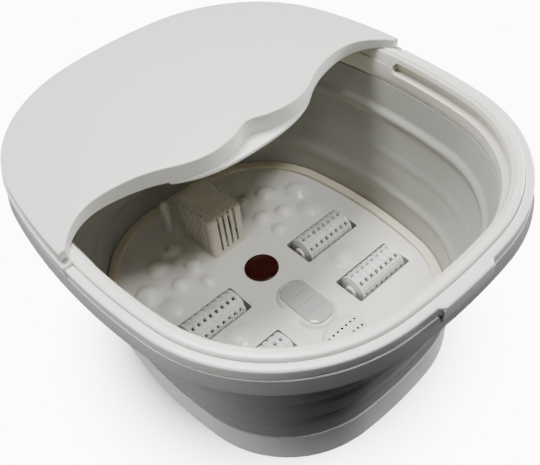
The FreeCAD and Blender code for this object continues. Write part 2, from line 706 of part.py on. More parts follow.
def build_air():
    """Air pump with its nozzle, and the hose up to the bubble cap."""
    block = box("air_block", size.air_pump_width, size.air_pump_depth, size.air_pump_height, 0,
                size.air_pump_along, size.inner_floor)
    front = size.air_pump_along - size.air_pump_depth / 2
    nozzle_level = size.inner_floor + size.air_pump_height / 2
    nozzle = cylinder("air_nozzle", size.air_hose_radius, size.port_length + 1, 0, front - size.port_length,
                      nozzle_level, Y_AXIS)
    export(fuse("air_pump", [block, nozzle]), "air_pump")
    hose("air_hose", [(ZERO, front - size.port_length, nozzle_level), (ZERO, size.bubble_along, nozzle_level),
                      (ZERO, size.bubble_along, size.base_top)],
         size.air_hose_radius, size.air_hose_bend)


def build_controls():
    """Control board, curved control panel, its three buttons, display lens and button board."""
    card = box("control_card", size.control_board_width, size.control_board_length, size.board_thick,
               size.control_board_across, 0, size.inner_floor)
    chips = [card]
    for number, (along, tall) in enumerate(((-22, 9), (-4, 6), (16, 12))):
        chips.append(box(f"chip_{number}", size.control_board_width / 2, size.lamp_circle * 1.4,
                         size.board_thick + tall, size.control_board_across, along, size.inner_floor))
    export(fuse("control_board", chips), "control_board")

    mid_level = size.panel_bottom + size.panel_height / 2
    face = oval_ring("panel_face_ring", size.panel_bottom, size.panel_bottom + size.panel_height,
                     (0, -size.panel_proud), (0, ZERO))
    face_keep = box("panel_face_keep", size.base_half_width, size.panel_half_length * 2,
                    size.panel_height * 2,
                    size.base_half_width, 0, ZERO)
    plug = oval_ring("panel_plug_ring", size.panel_bottom + size.panel_lip,
                     size.panel_bottom + size.panel_height - size.panel_lip, (0, ZERO), (0, size.panel_depth))
    plug_keep = box("panel_plug_keep", size.base_half_width, (size.panel_half_length - size.panel_lip) * 2,
                    size.panel_height * 2, size.base_half_width, 0, ZERO)
    panel = fuse("panel_solid", [common("panel_face", face, face_keep),
                                 common("panel_plug", plug, plug_keep)])
    outside = size.base_half_width + size.panel_proud
    tools = []
    switches = []
    board_face = size.button_board_across + size.board_thick
    for number, name in enumerate(("power", "heat", "bubble")):
        along = size.button_first + size.button_pitch * number
        tools.append(cylinder(f"{name}_hole", size.button_radius + size.button_clearance,
                              size.panel_depth * 3, outside - size.panel_depth * 2, along, mid_level, X_AXIS))
        export(cylinder(f"{name}_button", size.button_radius, size.button_length,
                        outside + size.button_proud - size.button_length, along, mid_level, X_AXIS),
               f"{name}_button")
        switches.append(cylinder(f"{name}_switch", size.switch_radius, size.switch_height,
                                 board_face, along, mid_level, X_AXIS))
    window = box("display_hole", size.panel_depth * 4, size.display_length, size.display_height,
                 outside, size.display_along, mid_level - size.display_height / 2)
    export(cut("control_panel", panel, tools + [window]), "control_panel")
    export(box("display_lens", size.panel_depth, size.display_length, size.display_height,
               outside - size.display_recess - size.panel_depth / 2, size.display_along,
               mid_level - size.display_height / 2),
           "display_lens")
    card = box("button_card", size.board_thick, size.panel_half_length * 2 - size.panel_lip * 4,
               size.button_board_height, size.button_board_across + size.board_thick / 2, 0,
               mid_level - size.button_board_height / 2)
    export(fuse("button_board", [card] + switches), "button_board")


def build_inlet():
    """The socket in the back of the base that the mains lead plugs into."""
    back = size.base_half_depth
    body = box("inlet_body", size.inlet_width, size.inlet_depth, size.inlet_height,
               0, back - size.inlet_depth / 2, size.inlet_level - size.inlet_height / 2)
    flange = box("inlet_face", size.inlet_width + size.inlet_flange * 2, size.panel_proud,
                 size.inlet_height + size.inlet_flange * 2, 0, back + size.panel_proud / 2,
                 size.inlet_level - size.inlet_height / 2 - size.inlet_flange)
    mouth = box("inlet_mouth", size.inlet_mouth_width, size.inlet_mouth_depth, size.inlet_mouth_height,
                0, back + size.panel_proud - size.inlet_mouth_depth / 2,
                size.inlet_level - size.inlet_mouth_height / 2)
    export(cut("power_inlet", fuse("inlet_solid", [body, flange]), [mouth]), "power_inlet")


# ------------------------------------------------------------------------------------ folding wall
def tier_outline(number, inset=ZERO):
    """The outer outline of one wall tier, counted from the base up."""
    share = number / 3
    tier_inset = size.wall_base_inset + (size.wall_rim_inset - size.wall_base_inset) * share
    return share, tier_inset + inset


def build_wall():
    """Four tiers, each a band that a lip at its foot closes against the tier inside it."""
    step = size.tier_height - size.tier_overlap
    for number in range(4):
        bottom = size.base_top + step * number
        top = bottom + size.tier_height if number < 3 else size.wall_top
        body = new_body(f"wall_tier_{number + 1}")
        ring(body, f"tier_{number}_band", bottom, top, tier_outline(number),
             tier_outline(number, size.wall_thick))
        if number == 0:
            ring(body, "tier_0_flange", bottom, bottom + size.tier_lip, tier_outline(0, size.wall_thick / 2),
                 (0, size.deck_inset - size.tier_gap))
        else:
            ring(body, f"tier_{number}_lip", bottom, bottom + size.tier_lip,
                 tier_outline(number, size.wall_thick / 2), tier_outline(number - 1, -size.tier_gap))
        if number == 3:
            ring(body, "tier_3_flange", size.wall_top - size.tier_lip, size.wall_top,
                 (1, size.wall_rim_inset - size.wall_flange_reach),
                 (1, size.wall_rim_inset + size.wall_thick))
        export(body, f"wall_tier_{number + 1}")
    ring_top = size.wall_top - size.tier_lip - size.upper_ring_gap
    export(oval_ring("upper_clamp_ring", ring_top - size.upper_ring_thick, ring_top,
                     (1, size.wall_rim_inset - size.wall_flange_reach),
                     (1, size.wall_rim_inset - size.upper_ring_gap)), "upper_clamp_ring")


# --------------------------------------------------------------------------------------- top frame
def build_frame():
    """The rim: flared skirt, ledge for the handle, riser, top cap and the band behind the handle."""
    body = new_body("frame_rings")
    low = new_sketch(body, "skirt_low", size.skirt_bottom)
    oval(low, 1, -size.skirt_flare)
    high = new_sketch(body, "skirt_high", size.ledge_top)
    oval(high, 1, ZERO)
    block = body.newObject("PartDesign::AdditiveLoft", "skirt_block")
    block.Profile = low
    block.Sections = [high]
    block.Ruled = True
    inside_low = new_sketch(body, "skirt_inside_low", size.skirt_bottom)
    oval(inside_low, 1, size.frame_wall - size.skirt_flare)
    inside_high = new_sketch(body, "skirt_inside_high", size.ledge_top - size.ledge_thick)
    oval(inside_high, 1, size.frame_wall)
    hollow = body.newObject("PartDesign::SubtractiveLoft", "skirt_hollow")
    hollow.Profile = inside_low
    hollow.Sections = [inside_high]
    hollow.Ruled = True
    mouth = new_sketch(body, "frame_mouth", size.ledge_top - size.ledge_thick)
    oval(mouth, 1, size.riser_inset + size.frame_wall)
    opening = body.newObject("PartDesign::Pocket", "frame_opening")
    opening.Profile = mouth
    opening.Reversed = True
    bind(opening, "Length", size.ledge_thick * 2)
    ring(body, "frame_riser", size.ledge_top - size.ledge_thick, size.rim_top,
         (1, size.riser_inset), (1, size.riser_inset + size.frame_wall))
    ring(body, "frame_cap", size.rim_top - size.frame_wall, size.rim_top,
         (1, size.riser_inset), (1, size.cap_inset))
    band = oval_ring("frame_band_ring", size.ledge_top, size.band_top, (1, ZERO), (1, size.riser_inset))
    rebate_end = size.handle_along + (size.band_top - size.handle_bottom) / 2 + size.rebate_gap
    rear = box("frame_band_keep", size.rim_half_width * 2.2, size.rim_half_depth + size.handle_inner * 2,
               size.band_top, 0, rebate_end + (size.rim_half_depth + size.handle_inner * 2) / 2, ZERO)
    band_rear = common("frame_band", band, rear)
    pin_level = (size.handle_bottom + size.band_top) / 2
    pin_hole = cylinder("frame_pin_hole", size.pin_radius, size.rim_half_width * 2, -size.rim_half_width,
                        size.handle_along, pin_level, X_AXIS)
    export(cut("top_frame", fuse("frame_solid", [body, band_rear]), [pin_hole]), "top_frame")


def build_inner_lip():
    """The inner ring: upper rim, recess round the front half, shelf and lower lip."""
    body = new_body("inner_lip")
    ring(body, "lip_filler", size.recess_bottom, size.recess_top,
         (1, size.cap_inset), (1, size.lip_inner_inset - size.wall_thick / 2))
    sketch = new_sketch(body, "recess_area", size.recess_bottom)
    corner_x = size.rim_half_width
    front = -size.rim_half_depth
    corners = [(-corner_x, front), (corner_x, front), (corner_x, size.recess_end),
               (-corner_x, size.recess_end)]
    points = [FreeCAD.Vector(x.number, y.number, 0) for x, y in corners]
    for start, end in zip(points, points[1:] + points[:1]):
        sketch.addGeometry(Part.LineSegment(start, end), False)
    for number in range(4):
        constrain(sketch, "Coincident", number, 2, (number + 1) % 4, 1)
    for number in (0, 2):
        constrain(sketch, "Horizontal", number)
        constrain(sketch, "Vertical", number + 1)
    constrain(sketch, "DistanceX", -1, 1, 0, 1, -corner_x)
    constrain(sketch, "DistanceX", -1, 1, 0, 2, corner_x)
    constrain(sketch, "DistanceY", -1, 1, 0, 1, front)
    constrain(sketch, "DistanceY", -1, 1, 2, 1, size.recess_end)
    hollow = body.newObject("PartDesign::Pocket", "rim_recess")
    hollow.Profile = sketch
    hollow.Reversed = True
    bind(hollow, "Length", size.recess_top - size.recess_bottom)
    back = (1, size.recess_back)
    back_inner = (1, size.cap_inset)
    ring(body, "recess_wall", size.recess_bottom - size.wall_thick, size.recess_top + size.wall_thick,
         back, back_inner)
    ring(body, "recess_roof", size.recess_top, size.recess_top + size.wall_thick,
         (1, size.recess_back + size.lip_overlap), (1, size.lip_upper_inset))
    ring(body, "lip_top", size.recess_top, size.lip_top, back_inner, (1, size.lip_upper_inset))
    ring(body, "recess_floor", size.recess_bottom - size.wall_thick, size.recess_bottom,
         (1, size.recess_back + size.lip_overlap), (1, size.lip_inner_inset - size.lip_overlap))
    ring(body, "lower_lip", size.wall_top, size.recess_bottom, (1, size.lip_inset), (1, size.lip_inner_inset))
    export(body, "inner_lip")


# ------------------------------------------------------------------------------------------ handle
def build_handle():
    """The bail handle round the front half, its finger tab, its eyes and the two pins."""
    top = size.band_top
    bow = oval_ring("handle_ring", size.handle_bottom, top, (1, size.handle_gap), (1, size.handle_inner))
    depth = size.rim_half_depth * 2
    front = box("handle_keep", size.rim_half_width * 2.2, depth, top, 0,
                size.handle_along - depth / 2, ZERO)
    tab = oval_ring("tab_ring", size.tab_bottom, top, (1, -size.tab_proud), (1, -size.tab_inner))
    tab_top = oval_ring("tab_top_ring", size.handle_bottom, top, (1, -size.tab_proud),
                        (1, size.handle_gap * 2))
    tab_keep = box("tab_keep", size.tab_half_width * 2, size.rim_half_depth, top, 0,
                   -size.rim_half_depth, ZERO)
    solids = [common("handle_bow", bow, front), common("tab_skirt", tab, tab_keep),
              common("tab_head", tab_top, tab_keep)]
    bores = []
    pins = []
    eye_radius = (top - size.handle_bottom) / 2
    level = size.handle_bottom + eye_radius
    eye_length = size.handle_inner - size.handle_gap - size.handle_gap
    for name, side in (("right", 1), ("left", -1)):
        outer = size.rim_half_width - size.handle_gap * 1.5
        eye_start = outer - eye_length if side == 1 else -outer
        solids.append(cylinder(f"{name}_eye", eye_radius, eye_length, eye_start, size.handle_along, level,
                               X_AXIS))
        pin_end = size.rim_half_width - size.handle_gap * 3
        pin_start = pin_end - size.pin_length if side == 1 else -pin_end
        bores.append(cylinder(f"{name}_eye_bore", size.pin_radius + size.running_clearance,
                              size.pin_length, eye_start - 2, size.handle_along, level, X_AXIS))
        pins.append(cylinder(f"{name}_pin", size.pin_radius, size.pin_length, pin_start, size.handle_along,
                             level, X_AXIS))
    export(cut("carry_handle", fuse("handle_solid", solids), bores), "carry_handle")
    export(group("handle_pins", pins), "handle_pins")


# --------------------------------------------------------------------------------------------- lid
LID_FRONT_EDGE = [
    # right half of the lid's front edge from the thumb notch to the side: across, along
    (0, 5), (7, 3.5), (16, -0.5), (27, -3), (38, -4), (50, -2.5), (62, 1.5), (74, 8), (88, 15.5), (104, 21),
    (122, 24.5), (140, 24), (155, 18), (166, 9), (172, 1.5),
]
RAIL_EDGE = [(0, -10), (25, -9), (45, -5.5), (62, 1), (76, 10)]


def mirrored(points):
    """A half edge from the middle outwards, turned into the whole edge from left to right."""
    return [(-x, y) for x, y in reversed(points[1:])] + list(points)


def front_prism(points, shift, bottom, top):
    """Everything in front of a smooth edge, as a prism."""
    edge = [FreeCAD.Vector(x, y + shift, bottom) for x, y in mirrored(points)]
    curve = Part.BSplineCurve()
    curve.interpolate(edge)
    wide = size.rim_half_width.number * 1.2
    deep = -size.rim_half_depth.number * 1.2
    corners = [edge[-1], FreeCAD.Vector(wide, edge[-1].y, bottom), FreeCAD.Vector(wide, deep, bottom),
               FreeCAD.Vector(-wide, deep, bottom), FreeCAD.Vector(-wide, edge[0].y, bottom), edge[0]]
    sides = [Part.LineSegment(a, b).toShape() for a, b in zip(corners, corners[1:])]
    face = Part.Face(Part.Wire([curve.toShape()] + sides))
    return face.extrude(FreeCAD.Vector(0, 0, top - bottom))


def feature(name, shape):
    """Keep a worked-out shape as an object of the document."""
    item = doc.addObject("Part::Feature", name)
    item.Shape = shape
    return item


def crown(name, offset):
    """The big ball whose top is the lid's gentle crown."""
    ball = doc.addObject("Part::Sphere", name)
    bind(ball, "Radius", size.lid_crown_radius - offset)
    place(ball, ZERO, size.lid_crown_along, size.lid_top - size.lid_crown_radius)
    return ball


def build_lid():
    """The crowned splash lid with its front wall and locating ribs, and the rail under its tongue."""
    bottom = size.lid_bottom.number
    top = size.lid_top.number
    outer = common("lid_outside", oval_ring("lid_block", size.lid_bottom, size.lid_top + 1,
                                            (1, size.lid_inset)),
                   crown("lid_crown", ZERO))
    inner = common("lid_inside", oval_ring("lid_space", size.lid_bottom - 1, size.lid_top + 1,
                                           (1, size.lid_inset + size.lid_thick)),
                   crown("lid_inner_crown", size.lid_thick))
    front = feature("lid_front_area", front_prism(LID_FRONT_EDGE, 0, bottom - 2, top + 2))
    front_inner = feature("lid_front_wall_area",
                          front_prism(LID_FRONT_EDGE, size.lid_thick.number, bottom - 2, top + 2))
    space = cut("lid_rear_space", inner, [front_inner])
    shell = cut("lid_hollow", outer, [front, space])
    rib_height = size.lid_top - size.lid_rib_bottom
    ribs = [box(f"lid_side_rib_{side + 1}", size.lid_rib_thick, size.side_rib_length, rib_height,
                size.side_rib_across * side, size.side_rib_along, size.lid_rib_bottom) for side in (1, -1)]
    ribs.append(box("lid_rear_rib", size.rear_rib_width, size.lid_rib_thick, rib_height, 0,
                    size.rear_rib_along, size.lid_rib_bottom))
    trimmed = common("lid_ribs", fuse("lid_rib_blocks", ribs), crown("lid_rib_crown", size.lid_thick / 2))
    export(fuse("lid_shell", [shell, trimmed]), "lid_shell")

    rail_end = RAIL_EDGE[-1][0]
    slab = box("rail_slab", as_length(rail_end * 2), size.rail_back * 2, size.rail_thick, 0, ZERO,
               size.lid_bottom - size.rail_thick)
    rail_front = feature("rail_front_area", front_prism(RAIL_EDGE, 0, bottom - 8, bottom + 1))
    export(cut("lid_front_rail", slab, [rail_front]), "lid_front_rail")


for build in (build_base, build_floor, build_rollers, build_lamp, build_window, build_bubble_cap,
              build_herb_box,
              build_water_heating, build_air, build_controls, build_inlet, build_wall, build_frame,
              build_inner_lip, build_handle, build_lid):
    build()
doc.recompute()

faults = []
for item in doc.Objects:
    if {"Invalid", "Error"} & set(item.State):
        faults.append(f"{item.Name}: {item.State}")
for piece in pieces:
    if piece.Shape.isNull() or not piece.Shape.isValid():
        faults.append(f"{piece.Label}: no valid shape")
if faults:
    raise RuntimeError("; ".join(faults))

os.makedirs("parts", exist_ok=True)
for piece in pieces:
    piece.Shape.exportStep(f"parts/{piece.Label}.step")
    count = len(piece.Shape.Solids)
    print(f"{piece.Label}: {count} solid(s), {piece.Shape.Volume / 1000:.2f} cm3")
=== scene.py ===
"""Looks of the folding foot spa basin: soft wall, massage floor, rim, bail handle, herb box and splash lid.

The pieces are written in millimetres and turned into metres when their meshes are made. The studio is written
in metres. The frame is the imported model's: +Z up, +X to the user's right, -Y towards the user.
"""

from __future__ import annotations

import json
import logging
import math
from dataclasses import dataclass, field
from enum import Enum
from typing import Callable, Iterable, Sequence

import bmesh
import bpy
import numpy as np
from mathutils import Matrix, Vector
from mathutils.geometry import delaunay_2d_cdt

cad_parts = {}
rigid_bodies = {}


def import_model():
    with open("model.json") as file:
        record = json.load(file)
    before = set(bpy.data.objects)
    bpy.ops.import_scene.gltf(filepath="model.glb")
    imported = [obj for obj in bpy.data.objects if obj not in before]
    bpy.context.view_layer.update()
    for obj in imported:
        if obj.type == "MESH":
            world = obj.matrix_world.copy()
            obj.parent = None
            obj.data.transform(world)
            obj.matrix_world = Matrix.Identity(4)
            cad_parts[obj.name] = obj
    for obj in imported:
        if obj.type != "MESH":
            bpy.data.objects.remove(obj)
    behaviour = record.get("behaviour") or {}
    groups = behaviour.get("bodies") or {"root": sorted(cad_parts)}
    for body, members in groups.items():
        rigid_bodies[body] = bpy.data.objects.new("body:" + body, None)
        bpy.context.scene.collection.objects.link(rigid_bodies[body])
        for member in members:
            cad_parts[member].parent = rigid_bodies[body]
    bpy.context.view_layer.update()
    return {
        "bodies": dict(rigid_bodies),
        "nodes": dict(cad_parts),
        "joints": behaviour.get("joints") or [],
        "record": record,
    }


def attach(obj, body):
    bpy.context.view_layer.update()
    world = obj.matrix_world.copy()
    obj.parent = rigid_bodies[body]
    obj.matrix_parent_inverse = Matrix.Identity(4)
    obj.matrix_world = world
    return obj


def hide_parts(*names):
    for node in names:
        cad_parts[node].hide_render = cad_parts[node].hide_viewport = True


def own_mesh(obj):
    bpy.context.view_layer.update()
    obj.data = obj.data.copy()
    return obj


logging.basicConfig(level=logging.INFO, format="%(message)s")
LOG = logging.getLogger("foot_spa")

MM = 0.001
TONE_SWING = 8.0
ROUGHNESS_SWING = 0.22
ROLLER_TURN = 0.37
Flat = tuple[float, float]
Spot = tuple[float, float, float]
Colour = tuple[float, float, float, float]


# ------------------------------------------------------------------------------------------------ finishes
class Pattern(Enum):
    """What kind of variation a finish has over its surface."""

    SMOOTH = "smooth"
    SPECKLED = "speckled"
    FLEXED = "flexed"
    BRUSHED = "brushed"


class Signal:
    """A shader socket that takes part in ordinary arithmetic."""

    def __init__(self, graph: "Graph", socket: bpy.types.NodeSocket) -> None:
        """Wrap one output socket of a graph."""
        self.graph = graph
        self.socket = socket

    def _join(self, operation: str, first: "Signal | float", second: "Signal | float") -> "Signal":
        """Add one Math node.

        Args:
            operation: The Math node's operation.
            first: Its first operand.
            second: Its second operand.

        Returns:
            The node's result.
        """
        return self.graph.add("ShaderNodeMath", {"operation": operation}, {0: first, 1: second})

    def __add__(self, other: "Signal | float") -> "Signal":
        """Return the sum."""
        return self._join("ADD", self, other)

    def __sub__(self, other: "Signal | float") -> "Signal":
        """Return the difference."""
        return self._join("SUBTRACT", self, other)

    def __rsub__(self, other: "Signal | float") -> "Signal":
        """Return the reflected difference."""
        return self._join("SUBTRACT", other, self)

    def __mul__(self, other: "Signal | float") -> "Signal":
        """Return the product."""
        return self._join("MULTIPLY", self, other)

    __radd__ = __add__
    __rmul__ = __mul__


class Graph:
    """The node tree of one material or world."""

    def __init__(self, tree: bpy.types.NodeTree) -> None:
        """Empty the tree and keep it."""
        tree.nodes.clear()
        self.tree = tree

    def raw(self, kind: str, settings: dict[str, object], inputs: dict[int | str, object]) -> bpy.types.Node:
        """Add one node.

        Args:
            kind: The node's type name.
            settings: Attributes to set first. "stops" fills a colour ramp.
            inputs: Values or signals for its sockets, by name or index.

        Returns:
            The node.
        """
        node = self.tree.nodes.new(kind)
        for name, value in settings.items():
            if name == "stops":
                ramp = node.color_ramp
                while len(ramp.elements) < len(value):
                    ramp.elements.new(0.5)
                for element, (position, colour) in zip(ramp.elements, value):
                    element.position = position
                    element.color = colour
            else:
                setattr(node, name, value)
        for name, value in inputs.items():
            if isinstance(value, Signal):
                self.tree.links.new(value.socket, node.inputs[name])
            else:
                node.inputs[name].default_value = value
        return node

    def add(self, kind: str, settings: dict[str, object], inputs: dict[int | str, object],
            output: int | str = 0) -> Signal:
        """Add one node and return one of its outputs as a signal."""
        return Signal(self, self.raw(kind, settings, inputs).outputs[output])


@dataclass(frozen=True)
class Finish:
    """One moulded, rubber, metal or clear finish of the basin; some finishes carry painted shade, and one a
    painted reflection, in their colour.

    Args:
        name: The material's name.
        colour: Its main colour, linear.
        pattern: The kind of variation over the surface.
        roughness: Mean roughness.
        shift: How far the colour drifts towards its second tone, 0 to 1.
        grain: Height of the fine surface grain in millimetres.
        grain_size: Size of the grain in millimetres.
        edge: Radius in millimetres that sharp edges are softened by.
        metallic: Metallic share.
        coat: Weight of a clear gloss on top.
        transmission: How much light passes through.
        subsurface: How much light spreads inside.
    """

    name: str
    colour: Colour
    pattern: Pattern = Pattern.SMOOTH
    roughness: float = 0.35
    shift: float = 0.06
    grain: float = 0.02
    grain_size: float = 0.8
    edge: float = 0.0
    metallic: float = 0.0
    coat: float = 0.0
    transmission: float = 0.0
    subsurface: float = 0.0

    def _second(self) -> Colour:
        """Return the tone that the colour drifts towards."""
        red, green, blue, alpha = self.colour
        return (red * 0.90, green * 0.885, blue * 0.855, alpha)

    def _mask(self, graph: Graph, place: Signal) -> Signal:
        """Return the slow variation that colour and roughness follow.

        Args:
            graph: The material's graph.
            place: The coordinate that the variation lives in.

        Returns:
            A signal from 0 to 1.
        """
        if self.pattern is Pattern.SPECKLED:
            return graph.add("ShaderNodeTexNoise", {}, {"Vector": place, "Scale": 420.0, "Detail": 3.0})
        if self.pattern is Pattern.BRUSHED:
            stretched = graph.add("ShaderNodeMapping", {}, {"Vector": place, "Scale": (20.0, 900.0, 900.0)})
            return graph.add("ShaderNodeTexNoise", {}, {"Vector": stretched, "Scale": 1.0, "Detail": 2.0})
        scale = 9.0 if self.pattern is Pattern.FLEXED else 16.0
        return graph.add("ShaderNodeTexNoise", {}, {"Vector": place, "Scale": scale, "Detail": 5.0,
                                                    "Roughness": 0.62})

    def _height(self, graph: Graph, place: Signal) -> Signal:
        """Return the surface's fine relief.

        Args:
            graph: The material's graph.
            place: The coordinate that the relief lives in.

        Returns:
            A signal of about 0 to 1.
        """
        fine = graph.add("ShaderNodeTexNoise", {}, {"Vector": place, "Scale": 1000.0 / self.grain_size,
                                                    "Detail": 2.0})
        if self.pattern is Pattern.SPECKLED:
            pits = graph.add("ShaderNodeTexVoronoi", {"feature": "SMOOTH_F1"},
                             {"Vector": place, "Scale": 230.0})
            return fine * 0.4 + pits
        if self.pattern is Pattern.FLEXED:
            waves = graph.add("ShaderNodeTexNoise", {}, {"Vector": place, "Scale": 38.0, "Detail": 1.0})
            return fine * 0.25 + waves * 2.4
        return fine

    def make(self) -> bpy.types.Material:
        """Build the material once and return it.

        Returns:
            The material.
        """
        found = bpy.data.materials.get(self.name)
        if found is not None:
            return found
        material = bpy.data.materials.new(self.name)
        material.use_nodes = True
        graph = Graph(material.node_tree)
        place = graph.add("ShaderNodeTexCoord", {}, {}, "Object")
        mask = self._mask(graph, place)
        tone = graph.add("ShaderNodeMix", {"data_type": "RGBA"},
                         {"Factor": (mask - 0.5) * (self.shift * TONE_SWING) + 0.5,
                          "A": self.colour, "B": self._second()}, "Result")
        normal = {}
        if self.edge:
            normal["Normal"] = graph.add("ShaderNodeBevel", {"samples": 4}, {"Radius": self.edge * MM})
        relief = graph.add("ShaderNodeBump", {}, {"Height": self._height(graph, place), "Strength": 1.0,
                                                  "Distance": self.grain * MM, **normal})
        surface = graph.raw("ShaderNodeBsdfPrincipled", {}, {
            "Base Color": tone, "Roughness": (mask - 0.5) * ROUGHNESS_SWING + self.roughness,
            "Metallic": self.metallic, "Coat Weight": self.coat, "Coat Roughness": 0.08,
            "Transmission Weight": self.transmission, "Subsurface Weight": self.subsurface,
            "Subsurface Scale": 0.004, "Normal": relief})
        end = graph.raw("ShaderNodeOutputMaterial", {}, {})
        graph.tree.links.new(surface.outputs[0], end.inputs["Surface"])
        return material


# The skirt is the rim's white plastic; this darker grey is painted shade for its shadowed outer face.
SKIRT_PAINTED_SHADE = Finish("rim_skirt_painted_shade", (0.40, 0.39, 0.405, 1), roughness=0.36, edge=0.35)
WHITE_RIM = Finish("white_rim_plastic", (0.80, 0.80, 0.775, 1), roughness=0.30, coat=0.15, edge=0.35)
HANDLE_WHITE = Finish("white_handle_plastic", (0.80, 0.80, 0.78, 1), roughness=0.32, coat=0.12, edge=0.35)
CREAM_LIP = Finish("cream_lip_plastic", (0.66, 0.645, 0.575, 1), roughness=0.34, coat=0.1, edge=0.35)
LID_GREY = Finish("lid_satin_plastic", (0.66, 0.665, 0.635, 1), roughness=0.42, grain=0.035,
                  grain_size=1.1, shift=0.05, edge=0.3)
RAIL_WHITE = Finish("lid_rail_plastic", (0.78, 0.78, 0.755, 1), roughness=0.32, edge=0.4)
# The wall's outside is the same grey rubber as its inside, set darker: partly its own grey, partly painted
# shade for its shadowed front.
WALL_OUT_PAINTED_SHADE = Finish("soft_wall_outside_painted_shade", (0.29, 0.29, 0.30, 1), Pattern.FLEXED, roughness=0.46, grain=0.12,
                  shift=0.10)
WALL_IN = Finish("soft_wall_inside", (0.37, 0.375, 0.345, 1), Pattern.FLEXED, roughness=0.44, grain=0.12,
                 shift=0.10)
BASE_GREY = Finish("base_band_plastic", (0.72, 0.725, 0.74, 1), roughness=0.4, grain=0.02, edge=0.9)
FLOOR_WHITE = Finish("massage_floor_plastic", (0.70, 0.685, 0.64, 1), roughness=0.3, coat=0.12, edge=0.5)
# The clamp ring's warm yellowish tone is a painted reflection.
RING_PAINTED_REFLECTION = Finish("clamp_ring_painted_reflection", (0.66, 0.60, 0.475, 1), roughness=0.36, edge=0.5)
ROLLER_GREY = Finish("roller_plastic", (0.60, 0.595, 0.55, 1), roughness=0.33, coat=0.1, edge=0.35)
CLIP_GREY = Finish("clip_plastic", (0.34, 0.34, 0.32, 1), roughness=0.4, edge=0.3)
HERB_BEIGE = Finish("herb_box_plastic", (0.62, 0.59, 0.50, 1), Pattern.SPECKLED, roughness=0.5, grain=0.22,
                    shift=0.08, edge=0.4)
LENS_RED = Finish("red_lens", (0.024, 0.0002, 0.0003, 1), roughness=0.22, coat=0.15, shift=0.3, edge=0.3)
WINDOW_MILK = Finish("milky_window", (0.62, 0.62, 0.61, 1), roughness=0.16, coat=0.6, transmission=0.35)
# Near-black painted shade for the bottoms of the roller pits, the inside of the herb box's wall and the
# bubble holes.
DEEP_PAINTED_SHADE = Finish("painted_recess_shade", (0.030, 0.029, 0.027, 1), roughness=0.6)
# Dark grey painted shade for the walls and floors of the roller wells.
WELL_PAINTED_SHADE = Finish("roller_well", (0.22, 0.22, 0.205, 1), roughness=0.5)
CAP_WHITE = Finish("bubble_cap_plastic", (0.62, 0.605, 0.57, 1), roughness=0.35, edge=0.3)
STEEL = Finish("ground_steel", (0.58, 0.58, 0.59, 1), Pattern.BRUSHED, roughness=0.28, metallic=1.0)
BLACK_PART = Finish("black_moulding", (0.018, 0.018, 0.02, 1), roughness=0.45, edge=0.3)
PLATE_DARK = Finish("bottom_plate_plastic", (0.055, 0.055, 0.06, 1), roughness=0.55, grain=0.05, edge=0.4)
RUBBER = Finish("foot_rubber", (0.02, 0.02, 0.02, 1), roughness=0.8, grain=0.08, edge=0.6)
BOARD = Finish("circuit_board", (0.012, 0.085, 0.03, 1), Pattern.SPECKLED, roughness=0.4, grain=0.01)
HOSE = Finish("silicone_hose", (0.46, 0.47, 0.47, 1), roughness=0.35, subsurface=0.2)
CAST = Finish("cast_heater", (0.55, 0.56, 0.57, 1), Pattern.SPECKLED, roughness=0.5, metallic=0.9, edge=0.5)
PANEL_BLACK = Finish("panel_gloss", (0.022, 0.022, 0.026, 1), roughness=0.18, coat=0.5, edge=0.5)
BUTTON_WHITE = Finish("button_plastic", (0.68, 0.68, 0.67, 1), roughness=0.3, coat=0.2, edge=0.7)
DISPLAY = Finish("smoked_display", (0.006, 0.006, 0.009, 1), roughness=0.08, coat=0.8)

CARRIED: dict[str, Finish] = {
    "base_shell": BASE_GREY, "bottom_plate": PLATE_DARK, "rubber_feet": RUBBER, "base_screws": STEEL,
    "roller_axles": STEEL, "roller_clips": CLIP_GREY, "lens_gasket": RUBBER, "infrared_lamp_board": BOARD,
    "light_board": BOARD, "ptc_heater": CAST, "thermostat": BLACK_PART, "circulation_pump": BLACK_PART,
    "water_hose": HOSE, "air_pump": BLACK_PART, "air_hose": HOSE, "control_board": BOARD,
    "power_button": BUTTON_WHITE, "heat_button": BUTTON_WHITE, "bubble_button": BUTTON_WHITE,
    "control_panel": PANEL_BLACK, "display_lens": DISPLAY, "button_board": BOARD, "power_inlet": BLACK_PART,
    "upper_clamp_ring": BASE_GREY, "handle_pins": STEEL,
}


